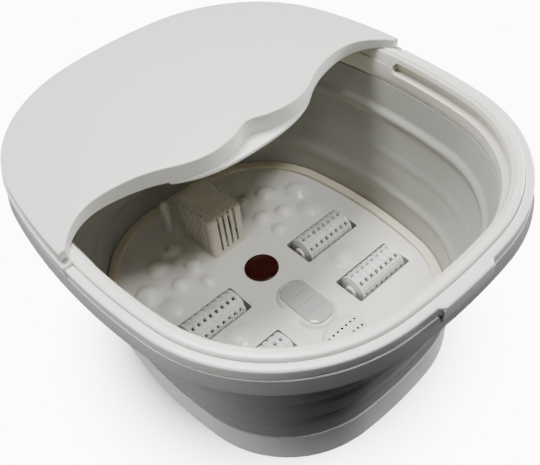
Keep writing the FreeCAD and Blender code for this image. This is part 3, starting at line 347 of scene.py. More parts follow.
# ---------------------------------------------------------------------------------------------- outlines
@dataclass(frozen=True)
class Oval:
    """The basin's outline at one level between the base (0) and the rim (1): eight tangent arcs.

    A place on it is a number from 0 to 8: each whole step is one arc, anticlockwise from the front end of the
    right side.
    """

    level: float = 1.0
    base: tuple[float, float, float, float, float] = (143.0, 165.5, 460.0, 431.0, 107.0)
    rim: tuple[float, float, float, float, float] = (180.0, 209.0, 553.0, 518.0, 137.0)
    steps: tuple[int, ...] = (22, 34, 24, 34)

    def sizes(self) -> list[float]:
        """Return half width, half depth, side, end and corner radius."""
        return [low + (high - low) * self.level for low, high in zip(self.base, self.rim)]

    def arcs(self) -> list[tuple[float, float, float, float, float]]:
        """Return the outline's eight arcs.

        Returns:
            Centre X and Y, radius, and start and stop angle of each.
        """
        width, depth, side, end, corner = self.sizes()
        side_x, end_y = width - side, depth - end
        reach_side, reach_end, gap = side - corner, end - corner, math.hypot(side_x, end_y)
        along = (reach_side ** 2 - reach_end ** 2 + gap ** 2) / (2 * gap)
        across = math.sqrt(reach_side ** 2 - along ** 2)
        x = side_x - along * side_x / gap - across * end_y / gap
        y = along * end_y / gap - across * side_x / gap
        low, high = math.atan2(y, x - side_x), math.atan2(y - end_y, x)
        turn = math.pi
        return [(side_x, 0, side, -low, low), (x, y, corner, low, high), (0, end_y, end, high, turn - high),
                (-x, y, corner, turn - high, turn - low), (-side_x, 0, side, turn - low, turn + low),
                (-x, -y, corner, turn + low, turn + high), (0, -end_y, end, turn + high, 2 * turn - high),
                (x, -y, corner, 2 * turn - high, 2 * turn - low)]

    def at(self, place: float, inset: float) -> Flat:
        """Return a point of the outline.

        Args:
            place: The place on the outline.
            inset: How far the point is moved inwards.

        Returns:
            The point.
        """
        place %= 8
        x, y, radius, start, stop = self.arcs()[int(place)]
        angle = start + (stop - start) * (place - int(place))
        return x + (radius - inset) * math.cos(angle), y + (radius - inset) * math.sin(angle)

    def right_at(self, y: float) -> float:
        """Return the place on the right side arc whose Y is given."""
        _, _, radius, start, stop = self.arcs()[0]
        return (math.asin(y / radius) - start) / (stop - start)

    def stations(self, start: float = 0.0, stop: float = 8.0, closed: bool = True) -> list[float]:
        """Return evenly spread places.

        Args:
            start: First place.
            stop: Last place, which may pass 8.
            closed: Leave the last place out because it meets the first.

        Returns:
            The places in rising order.
        """
        places = [start]
        for arc in range(int(start) - 1, int(stop) + 2):
            count = self.steps[arc % 4]
            places += [arc + k / count for k in range(count) if start + 1e-4 < arc + k / count < stop - 1e-4]
        return places if closed else places + [stop]


def rounded(corners: Sequence[tuple[float, float, float]], steps: int = 4) -> list[Flat]:
    """Round the corners of a closed section.

    Args:
        corners: Inset, height and radius of each corner.
        steps: Segments in each rounding.

    Returns:
        The section's points.
    """
    points: list[Flat] = []
    for index, (x, y, radius) in enumerate(corners):
        here = Vector((x, y))
        before = Vector(corners[index - 1][:2]) - here
        after = Vector(corners[(index + 1) % len(corners)][:2]) - here
        if radius <= 0:
            points.append((x, y))
            continue
        half = before.angle(after) / 2
        reach = min(radius / math.tan(half), before.length * 0.49, after.length * 0.49)
        first, last = here + before.normalized() * reach, here + after.normalized() * reach
        for step in range(steps + 1):
            share = step / steps
            spot = first * (1 - share) ** 2 + here * 2 * share * (1 - share) + last * share ** 2
            points.append((spot.x, spot.y))
    return points


def smooth_line(points: Sequence[Flat], spacing: float) -> list[Flat]:
    """Draw a natural cubic curve through points.

    Args:
        points: The points it passes through.
        spacing: Rough distance between the points of the result.

    Returns:
        Points along the curve, both ends included.
    """
    spots = np.array(points, float)
    knots = np.concatenate([[0], np.cumsum(np.hypot(*np.diff(spots, axis=0).T))])
    gaps = np.diff(knots)
    count = len(spots)
    matrix, right = np.eye(count), np.zeros((count, 2))
    for k in range(1, count - 1):
        matrix[k, k - 1:k + 2] = gaps[k - 1], 2 * (gaps[k - 1] + gaps[k]), gaps[k]
        right[k] = 6 * ((spots[k + 1] - spots[k]) / gaps[k] - (spots[k] - spots[k - 1]) / gaps[k - 1])
    bend = np.linalg.solve(matrix, right)
    result: list[Flat] = []
    for k in range(count - 1):
        for share in np.linspace(0, 1, max(2, int(gaps[k] / spacing) + 1))[:-1]:
            a, b = 1 - share, share
            spot = (a * spots[k] + b * spots[k + 1]
                    + ((a ** 3 - a) * bend[k] + (b ** 3 - b) * bend[k + 1]) * gaps[k] ** 2 / 6)
            result.append((float(spot[0]), float(spot[1])))
    return result + [(float(spots[-1][0]), float(spots[-1][1]))]


def pushed(loop: Sequence[Flat], distance: float) -> list[Flat]:
    """Move a closed anticlockwise loop inwards.

    Args:
        loop: The loop.
        distance: How far it moves.

    Returns:
        The moved loop, with as many points.
    """
    spots = np.array(loop, float)
    along = np.roll(spots, -1, 0) - np.roll(spots, 1, 0)
    along /= np.maximum(np.hypot(*along.T), 1e-9)[:, None]
    return [(float(x - distance * t[1]), float(y + distance * t[0])) for (x, y), t in zip(spots, along)]


def inside(spot: Flat, loop: Sequence[Flat]) -> bool:
    """Tell whether a point is inside a closed loop.

    Args:
        spot: The point.
        loop: The loop.

    Returns:
        True when it is inside.
    """
    x, y = spot
    result = False
    for (ax, ay), (bx, by) in zip(loop, list(loop[1:]) + [loop[0]]):
        if (ay > y) != (by > y) and x < (bx - ax) * (y - ay) / (by - ay) + ax:
            result = not result
    return result


def distance_to(spots: np.ndarray, loop: Sequence[Flat]) -> np.ndarray:
    """Measure how far points are from a closed loop's edges.

    Args:
        spots: The points, one a row.
        loop: The loop.

    Returns:
        One distance for each point.
    """
    starts = np.array(loop, float)
    edges = np.roll(starts, -1, 0) - starts
    best = np.full(len(spots), 1e9)
    for start, edge in zip(starts, edges):
        share = np.clip((spots - start) @ edge / max(edge @ edge, 1e-12), 0, 1)
        best = np.minimum(best, np.hypot(*(spots - start - share[:, None] * edge).T))
    return best


def grid(across: tuple[float, float, float], along: tuple[float, float, float]) -> list[Flat]:
    """Return a grid of points; each direction gives its start, stop and step."""
    return [(float(x), float(y)) for x in np.arange(*across) for y in np.arange(*along)]


def well_inside(spots: Sequence[Flat], loop: Sequence[Flat], margin: float) -> list[Flat]:
    """Return the points inside a closed loop that are farther from its edges than the margin."""
    reaches = distance_to(np.array(spots), loop)
    return [spot for spot, far in zip(spots, reaches) if far > margin and inside(spot, loop)]


def circle(centre: Flat, radius: float, steps: int) -> list[Flat]:
    """Return points on a circle, anticlockwise."""
    turns = [2 * math.pi * k / steps for k in range(steps)]
    return [(centre[0] + radius * math.cos(turn), centre[1] + radius * math.sin(turn)) for turn in turns]


# ------------------------------------------------------------------------------------------------ meshes
@dataclass
class Shape:
    """Points and faces in millimetres that become one piece."""

    spots: list[Spot] = field(default_factory=list)
    faces: list[tuple[int, ...]] = field(default_factory=list)
    slots: list[int] = field(default_factory=list)

    def face(self, corners: Iterable[int], slot: int = 0) -> None:
        """Add one face."""
        self.faces.append(tuple(corners))
        self.slots.append(slot)

    def loop(self, points: Iterable[Spot]) -> list[int]:
        """Add points.

        Args:
            points: The points.

        Returns:
            Their numbers.
        """
        start = len(self.spots)
        self.spots.extend(points)
        return list(range(start, len(self.spots)))

    def band(self, first: Sequence[int], second: Sequence[int], slot: int = 0) -> None:
        """Join two closed rows of points with quads.

        Args:
            first: Numbers of the first row's points.
            second: Numbers of the second row's.
            slot: The material slot.
        """
        count = len(first)
        for k in range(count):
            n = (k + 1) % count
            self.face((first[k], first[n], second[n], second[k]), slot)

    def stack(self, rows: Sequence[Sequence[int]]) -> None:
        """Join each closed row of points to the next."""
        for first, second in zip(rows, rows[1:]):
            self.band(first, second)

    def sweep(self, places: Sequence[float], section: Callable[[float], Sequence[Spot]], closed: bool = True,
              slot_of: Callable[[int], int] = lambda _: 0) -> None:
        """Carry a section along the basin's outline.

        Args:
            places: Places on the outline.
            section: Gives the section at a place: level, inset and height of each point.
            closed: Join the last place to the first.
            slot_of: Gives the material slot of a strip of the section.
        """
        rows = []
        for place in places:
            row = []
            for level, inset, height in section(place):
                x, y = Oval(level).at(place, inset)
                row.append((x, y, height))
            rows.append(self.loop(row))
        count = len(rows[0])
        pairs = list(zip(rows, rows[1:])) + ([(rows[-1], rows[0])] if closed else [])
        for here, there in pairs:
            for k in range(count):
                n = (k + 1) % count
                self.face((here[k], there[k], there[n], here[n]), slot_of(k))
        if not closed:
            self.face(rows[0])
            self.face(reversed(rows[-1]))

    def cover(self, loops: Sequence[Sequence[Flat]], extra: Sequence[Flat],
              height: Callable[[float, float], float]) -> None:
        """Fill the area inside a loop with triangles whose height is a function of the place.

        Args:
            loops: The outer loop and then the loops of the holes.
            extra: Points inside the area.
            height: Gives the height at a place.
        """
        flat: list[Flat] = []
        edges: list[tuple[int, int]] = []
        for loop in loops:
            start = len(flat)
            flat += list(loop)
            edges += [(start + k, start + (k + 1) % len(loop)) for k in range(len(loop))]
        flat += list(extra)
        found, _, triangles, *_ = delaunay_2d_cdt([Vector(spot) for spot in flat], edges, [], 0, 1e-5)
        numbers = self.loop((spot.x, spot.y, height(spot.x, spot.y)) for spot in found)
        for corners in triangles:
            middle = sum((found[k] for k in corners), Vector((0, 0))) / 3
            if inside(middle, loops[0]) and not any(inside(middle, hole) for hole in loops[1:]):
                self.face(numbers[k] for k in corners)

    def build(self, name: str, finishes: Sequence[Finish], sharp: float = 32.0) -> bpy.types.Object:
        """Make the object.

        Args:
            name: The piece's name.
            finishes: One finish for each material slot.
            sharp: Angle in degrees above which an edge stays crisp.

        Returns:
            The object, in metres.
        """
        mesh = bpy.data.meshes.new(name)
        mesh.from_pydata([(x * MM, y * MM, z * MM) for x, y, z in self.spots], [], self.faces)
        mesh.polygons.foreach_set("material_index", self.slots)
        work = bmesh.new()
        work.from_mesh(mesh)
        bmesh.ops.remove_doubles(work, verts=work.verts, dist=2e-6)
        bmesh.ops.dissolve_degenerate(work, dist=1e-6, edges=work.edges)
        bmesh.ops.recalc_face_normals(work, faces=work.faces)
        work.to_mesh(mesh)
        work.free()
        mesh.shade_smooth()
        mesh.set_sharp_from_angle(angle=math.radians(sharp))
        piece = bpy.data.objects.new(name, mesh)
        bpy.context.collection.objects.link(piece)
        for finish in finishes:
            mesh.materials.append(finish.make())
        return piece


@dataclass
class Place:
    """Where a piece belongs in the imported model."""

    body: str
    stands_for: tuple[str, ...] = ()
    slot: str | None = None

    def settle(self, piece: bpy.types.Object) -> bpy.types.Object:
        """Attach a piece to its body, hide what it stands for and report it.

        Args:
            piece: The piece.

        Returns:
            The same piece.
        """
        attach(piece, self.body)
        if self.stands_for:
            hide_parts(*self.stands_for)
        LOG.info("%s: %d faces on %s", piece.name, len(piece.data.polygons), self.body)
        return piece


def lathe(shape: Shape, section: Sequence[Flat], centre: Flat, steps: int) -> None:
    """Turn a section about a vertical axis.

    Args:
        shape: The shape to add to.
        section: Radius and height of each point, from the outside to the middle.
        centre: The axis.
        steps: Segments round the axis.
    """
    rows = []
    for radius, height in section:
        rows.append(shape.loop((*spot, height) for spot in circle(centre, radius, steps)))
    shape.stack(rows)
    shape.face(rows[-1])


def rounded_rectangle(centre: Flat, size: Flat, radius: float, steps: int = 6) -> list[Flat]:
    """Draw a rectangle with round corners.

    Args:
        centre: Its centre.
        size: Its width and depth.
        radius: Radius of its corners.
        steps: Segments in each corner.

    Returns:
        Its points, anticlockwise.
    """
    half_x, half_y = size[0] / 2 - radius, size[1] / 2 - radius
    loop = []
    for quarter, (sx, sy) in enumerate(((1, 1), (-1, 1), (-1, -1), (1, -1))):
        for step in range(steps + 1):
            angle = math.pi / 2 * (quarter + step / steps)
            loop.append((centre[0] + sx * half_x + radius * math.cos(angle),
                         centre[1] + sy * half_y + radius * math.sin(angle)))
    return loop


def densify(loop: Sequence[Flat], spacing: float) -> list[Flat]:
    """Add points to the long edges of a closed loop.

    Args:
        loop: The loop.
        spacing: Longest distance wanted between points.

    Returns:
        The denser loop.
    """
    result: list[Flat] = []
    for (ax, ay), (bx, by) in zip(loop, list(loop[1:]) + [loop[0]]):
        count = max(1, int(math.hypot(bx - ax, by - ay) / spacing))
        result += [(ax + (bx - ax) * k / count, ay + (by - ay) * k / count) for k in range(count)]
    return result


# ------------------------------------------------------------------------------------- rim, handle and lip
@dataclass
class TopRim:
    """White rim frame: flared skirt, ledge for the handle, riser with its cap, and the fixed rear band."""

    skirt_foot: float = 190.0
    ledge: float = 202.5
    top: float = 214.5
    flare: float = 3.0
    band_top: float = 212.3
    band_end_y: float = -2.75

    def build(self) -> None:
        """Make the rim."""
        shape = Shape()
        frame = rounded([(-self.flare, self.skirt_foot, 0.7), (0.0, self.ledge, 1.2), (7.6, self.ledge, 0.8),
                         (7.8, self.top, 2.0), (14.0, self.top, 1.0), (14.0, self.top - 2.4, 0.4),
                         (10.2, self.top - 2.4, 0.8), (10.2, 200.0, 0.5), (2.3, 200.0, 0.8),
                         (-self.flare + 2.4, self.skirt_foot, 0.7)])
        # The skirt's faces take slot 1: the rim's white plastic darkened with painted shade.
        skirt = {k for k, (x, z) in enumerate(frame) if z < self.ledge - 0.9 and x < 3.0}
        shape.sweep(Oval().stations(), lambda _: [(1.0, x, z) for x, z in frame],
                    slot_of=lambda k: 1 if k in skirt else 0)
        start = Oval().right_at(self.band_end_y)
        band = rounded([(0.0, self.ledge, 0.3), (0.0, self.band_top, 1.8), (7.75, self.band_top, 0.6),
                        (7.75, self.ledge, 0.2)])
        shape.sweep(Oval().stations(start, 5 - start, closed=False), lambda _: [(1.0, x, z) for x, z in band],
                    closed=False)
        Place("upper_frame", ("top_frame",), "frame_plastic").settle(
            shape.build("top_rim", [WHITE_RIM, SKIRT_PAINTED_SHADE]))


@dataclass
class InnerLip:
    """Cream lip inside the rim, with the long round-ended finger recess round the front half."""

    recess_floor: float = 198.5
    recess_roof: float = 208.5
    recess_end_y: float = -8.0
    recess_back: float = 14.3
    slope_top: float = 210.0
    slope_drop: float = 12.0
    slope_insets: Flat = (17.9, 21.6)
    end_step: float = 0.032

    def face(self, height: float) -> float:
        """Return the inset of the lip's sloping inner face at a height."""
        upper, lower = self.slope_insets
        return upper + (lower - upper) * min(1.0, max(0.0, (self.slope_top - height) / self.slope_drop))

    def section(self, place: float) -> list[Spot]:
        """Return the lip's section at a place.

        Args:
            place: The place on the outline.

        Returns:
            Level, inset and height of each point.
        """
        oval = Oval()
        _, y = oval.at(place, self.face(204))
        half = (self.recess_roof - self.recess_floor) / 2
        reach = self.recess_end_y - y
        opening = 0.0
        if reach > 0:
            opening = half if reach >= half else math.sqrt(max(0.0, half ** 2 - (half - reach) ** 2))
        middle = (self.recess_roof + self.recess_floor) / 2
        low, high = middle - opening, middle + opening
        soft = min(0.9, opening)
        points = rounded([(14.0, 186.0, 0.3), (14.0, 213.4, 0.5), (17.4, 213.4, 1.2)])[:-1]
        points += [(self.face(211), 211.0), (self.face(high + 1.2), high + 1.2 if opening else middle),
                   (self.face(high), high + soft * 0.3), (self.face(high) - soft, high),
                   (self.recess_back, high), (self.recess_back, low), (self.face(low) - soft, low),
                   (self.face(low), low - soft * 0.3),
                   (self.face(low - 1.2), low - 1.2 if opening else middle),
                   (self.face(198), 197.0), (21.8, 192.0), (21.8, 187.0), (21.2, 186.0)]
        return [(1.0, inset, height) for inset, height in points]

    def build(self) -> None:
        """Make the lip."""
        end = Oval().right_at(self.recess_end_y)
        places = set(Oval().stations())
        for k in range(13):
            step = self.end_step * (1 - math.cos(math.pi / 2 * k / 12))
            places |= {(end - step) % 8, (5 - end + step) % 8}
        shape = Shape()
        shape.sweep(sorted(places), self.section)
        Place("upper_frame", ("inner_lip",), "lip_plastic").settle(shape.build("inner_lip_skin", [CREAM_LIP]))


@dataclass
class CarryHandle:
    """White bail handle that lies round the front of the rim, with its lifting tab and its pivot eyes."""

    low: float = 203.0
    high: float = 212.3
    eye: Spot = (176.15, -8.0, 207.65)
    eye_radius: float = 4.65
    eye_width: float = 6.5
    tab_half: float = 26.0
    tab_low: float = 199.5
    tab_out: float = -3.0

    def front(self, x: float) -> float:
        """Find a place on the outline's front end.

        Args:
            x: The place's X.

        Returns:
            The place.
        """
        _, _, radius, start, stop = Oval().arcs()[6]
        angle = math.asin(x / radius)
        return 6 + (1.5 * math.pi + angle - start) / (stop - start)

    def bail(self, shape: Shape) -> None:
        """Add the bar, which swells outwards at the tab.

        Args:
            shape: The shape to add to.
        """
        start, stop = 5 - Oval().right_at(self.eye[1]), 8 + Oval().right_at(self.eye[1])
        places = set(Oval().stations(start, stop, closed=False))
        for k in range(9):
            places |= {self.front(side * (self.tab_half - 4 + k)) for side in (-1, 1)}

        def section(place: float) -> list[Spot]:
            """Return the bar's section at a place.

            Args:
                place: The place on the outline.

            Returns:
                Level, inset and height of each point.
            """
            x = abs(Oval().at(place, 0)[0]) if 6 < place < 7 else 1e3
            share = min(1.0, max(0.0, (self.tab_half + 3 - x) / 5.0))
            share = share * share * (3 - 2 * share)
            out = 0.4 + (self.tab_out - 0.4) * share
            points = rounded([(out, self.low, 1.0), (out, self.high, 2.2), (7.3, self.high, 1.5),
                              (7.3, self.low, 1.0)], steps=5)
            return [(1.0, inset, height) for inset, height in points]

        shape.sweep(sorted(places), section, closed=False)

    def tab(self, shape: Shape) -> None:
        """Add the tab's thin drop, where fingers catch the handle.

        Args:
            shape: The shape to add to.
        """
        points = rounded([(self.tab_out, self.tab_low, 0.5), (self.tab_out, 210.0, 0.2), (0.2, 210.0, 0.2),
                          (-1.2, 203.4, 0.8), (-1.2, self.tab_low, 0.5)])
        places = [self.front(-self.tab_half + 2 * self.tab_half * k / 20) for k in range(21)]
        shape.sweep(places, lambda _: [(1.0, x, z) for x, z in points], closed=False)

    def eyes(self, shape: Shape) -> None:
        """Add the round ends that turn on the pins.

        Args:
            shape: The shape to add to.
        """
        x, y, z = self.eye
        profile = ((-1.0, 0.01), (-1.0, 0.88), (-0.86, 1.0), (0.86, 1.0), (1.0, 0.88), (1.0, 0.01))
        for side in (-1, 1):
            rows = []
            for reach, radius in profile:
                ring = circle((y, z), self.eye_radius * radius, 40)
                rows.append(shape.loop((side * x + reach * self.eye_width / 2, *spot) for spot in ring))
            shape.stack(rows)

    def build(self) -> None:
        """Make the handle."""
        shape = Shape()
        self.bail(shape)
        self.tab(shape)
        self.eyes(shape)
        Place("handle", ("carry_handle",), "frame_plastic").settle(shape.build("bail_handle", [HANDLE_WHITE]))


# ---------------------------------------------------------------------------------------------------- lid
@dataclass
class SplashLid:
    """Lid over the rear half: crowned top, wavy front face, thumb crescent, and the white rail below."""

    underside: float = 214.7
    crown_radius: float = 1668.0
    crown_top: float = 231.5
    crown_y: float = 25.0
    inset: float = 2.5
    fillet: float = 1.3
    thickness: float = 2.6
    front_half: tuple[Flat, ...] = ((0, 5), (7, 3.5), (16, -0.5), (27, -3), (38, -4), (50, -2.5), (62, 1.5),
                                    (74, 8), (88, 15.5), (104, 21), (122, 24.5), (140, 24), (155, 18),
                                    (166, 9), (172, 1.5))
    rail_half: tuple[Flat, ...] = ((0, -10), (25, -9), (45, -5.5), (62, 1), (76, 10))
    rail_back: float = 46.0
    rail_low: float = 211.3
    crescent: tuple[Flat, ...] = ((9.7, 39.8), (14.9, 42.2), (19.9, 42.8), (27.2, 38.6), (35.5, 29.0))
    crescent_depth: float = 1.1
    crescent_fade: float = 9.0
    crescent_lip: float = 0.9
    rib_low: float = 203.4
    rib_high: float = 222.4

    def crown(self, x: float, y: float) -> float:
        """Return the height of the lid's top at a place."""
        rise = math.sqrt(self.crown_radius ** 2 - x * x - (y - self.crown_y) ** 2)
        return self.crown_top - self.crown_radius + rise

    def outline(self) -> list[Flat]:
        """Draw the lid's outline.

        Returns:
            Its points, anticlockwise.
        """
        oval = Oval()
        start = oval.right_at(1.5)
        rear = [oval.at(place, self.inset) for place in oval.stations(start, 5 - start, closed=False)]
        mirrored = [(-x, y) for x, y in reversed(self.front_half[1:])] + list(self.front_half)
        front = smooth_line(mirrored, 4.0)
        return rear + [(-rear[0][0] + 1.5, 1.5), *front, (rear[0][0] - 1.5, 1.5)]

    def dip(self, spots: np.ndarray) -> np.ndarray:
        """Return how deep the thumb crescent is at some places.

        Args:
            spots: The places.

        Returns:
            Depths in millimetres.
        """
        line = smooth_line(self.crescent, 1.5)
        best = np.full(len(spots), 1e9)
        below = np.zeros(len(spots))
        for (ax, ay), (bx, by) in zip(line, line[1:]):
            edge = np.array([bx - ax, by - ay])
            offset = spots - np.array([ax, ay])
            share = np.clip(offset @ edge / (edge @ edge), 0, 1)
            rest = offset - share[:, None] * edge
            reach = np.hypot(*rest.T)
            closer = reach < best
            best = np.where(closer, reach, best)
            below = np.where(closer, edge[0] * offset[:, 1] - edge[1] * offset[:, 0], below)
        inner = np.clip(1 - best / self.crescent_fade, 0, 1) ** 2 * (below < 0)
        outer = np.clip(1 - best / self.crescent_lip, 0, 1) * (below >= 0)
        return self.crescent_depth * np.maximum(inner, outer)

    def shell(self) -> Shape:
        """Model the lid's shell with its three locating ribs.

        Returns:
            The shape.
        """
        shape = Shape()
        edge = densify(self.outline(), 5.0)
        rows = [shape.loop((x, y, self.underside) for x, y in edge)]
        for step in range(6):
            angle = math.pi / 2 * step / 5
            inner = pushed(edge, self.fillet * (1 - math.cos(angle)))
            drop = self.fillet * (1 - math.sin(angle))
            rows.append(shape.loop((x, y, self.crown(x, y) - drop) for x, y in inner))
        shape.stack(rows)
        top = pushed(edge, self.fillet)
        extra = grid((-170, 171, 10), (0, 210, 10)) + grid((6, 42, 0.9), (22, 46, 0.9))
        keep = well_inside(extra, top, 2.5)
        depth = {}
        for spot, value in zip(keep, self.dip(np.array(keep))):
            depth[(round(spot[0], 3), round(spot[1], 3))] = float(value)
        shape.cover([top], keep, lambda x, y: self.crown(x, y) - depth.get((round(x, 3), round(y, 3)), 0.0))
        lining = pushed(edge, self.thickness)
        foot = shape.loop((x, y, self.underside) for x, y in lining)
        ceiling = shape.loop((x, y, self.crown(x, y) - self.thickness) for x, y in lining)
        shape.band(rows[0], foot)
        shape.band(foot, ceiling)
        hold = well_inside(grid((-160, 161, 20), (0, 210, 20)), lining, 4)
        shape.cover([lining], hold, lambda x, y: self.crown(x, y) - self.thickness)
        for centre, size in (((-145, 85), (2.5, 40)), ((145, 85), (2.5, 40)), ((0, 184), (60, 2.5))):
            block(shape, centre, size, self.rib_low, self.rib_high)
        return shape

    def rail(self) -> Shape:
        """Model the rail under the lid's front.

        Returns:
            The shape.
        """
        shape = Shape()
        front = smooth_line([(-x, y) for x, y in reversed(self.rail_half[1:])] + list(self.rail_half), 3.0)
        loop = densify([*front, (76, self.rail_back), (-76, self.rail_back)], 4.0)
        rows = []
        for inset, height in ((0.8, 214.7), (0.0, 214.3), (0.0, 212.3), (0.3, 211.6), (1.0, self.rail_low)):
            rows.append(shape.loop((x, y, height) for x, y in pushed(loop, inset)))
        shape.stack(rows)
        shape.face(rows[-1])
        shape.face(reversed(rows[0]))
        return shape

    def build(self) -> None:
        """Make the lid."""
        shell = self.shell().build("splash_lid", [LID_GREY], sharp=40)
        Place("lid", ("lid_shell",), "lid_plastic").settle(shell)
        rail = self.rail().build("lid_rail", [RAIL_WHITE])
        Place("lid", ("lid_front_rail",), "lid_plastic").settle(rail)


def block(shape: Shape, centre: Flat, size: Flat, low: float, high: float) -> None:
    """Add a small upright block with rounded corners and a softened foot.

    Args:
        shape: The shape to add to.
        centre: The block's centre.
        size: Its width and depth.
        low: Height of its foot.
        high: Height of its top.
    """
    loop = rounded_rectangle(centre, size, min(1.0, min(size) / 2.05), 4)
    rows = [shape.loop((x, y, height) for x, y in pushed(loop, inset))
            for inset, height in ((0.35, low), (0.0, low + 0.5), (0.0, high))]
    shape.stack(rows)
    shape.face(reversed(rows[0]))
    shape.face(rows[-1])


# --------------------------------------------------------------------------------------------------- wall
@dataclass
class FoldingWall:
    """Soft wall between the base and the rim, creased where it folds."""

    low: float = 38.9
    high: float = 186.0
    thickness: float = 2.4
    creases: tuple[tuple[float, float, float], ...] = ((74.0, 2.8, 5.0), (113.0, 0.6, 7.0), (154.0, 2.8, 5.0))
    outer_share: float = 1.5
    foot_inset: float = 1.0
    lean: float = 19.0
    rows: int = 96

    def dent(self, height: float, place: float) -> float:
        """Work out how far the wall is pushed inwards.

        Args:
            height: The height on the wall.
            place: The place on the outline.

        Returns:
            The depth of the crease there.
        """
        wander = 0.9 + 0.1 * math.sin(place * math.pi / 4 * 3 + height * 0.05)
        total = 0.0
        for centre, depth, width in self.creases:
            total += depth * wander * math.exp(-(((height - centre) / width) ** 2))
        share = (height - self.low) / (self.high - self.low)
        return total - 0.5 * math.sin(math.pi * 4 * share) ** 2

    def section(self, place: float) -> list[Spot]:
        """Return the wall's section at a place.

        Args:
            place: The place on the outline.

        Returns:
            Level, inset and height of each point.
        """
        heights = [self.low + (self.high - self.low) * k / self.rows for k in range(self.rows + 1)]
        outer, inner = [], []
        for height in heights:
            level = (height - self.low) / (self.high - self.low)
            foot, head = min(1, level * 9), min(1, (1 - level) * 9)
            held = math.sin(math.pi * foot / 2) * math.sin(math.pi * head / 2)
            dent = max(0.0, self.dent(height, place)) * held
            inset = self.foot_inset + self.lean * level
            outer.append((level, inset + dent * self.outer_share, height))
            inner.append((level, inset + dent + self.thickness, height))
        return outer + inner[::-1]

    def build(self) -> None:
        """Make the wall."""
        shape = Shape()
        count = self.rows + 1
        # Slot 0 is the outside, the wall rubber darkened with painted shade; slot 1 is the inside.
        shape.sweep(Oval().stations(), self.section, slot_of=lambda k: 0 if k < count else 1)
        wall = shape.build("folding_wall", [WALL_OUT_PAINTED_SHADE, WALL_IN], sharp=60)
        tiers = ("wall_tier_1", "wall_tier_2", "wall_tier_3", "wall_tier_4")
        Place("base", tiers, "wall_rubber").settle(wall)
        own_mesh(wall)


# -------------------------------------------------------------------------------------------------- floor
@dataclass(frozen=True)
class Dome:
    """One massage dome of the floor."""

    x: float
    y: float
    radius: float
    height: float


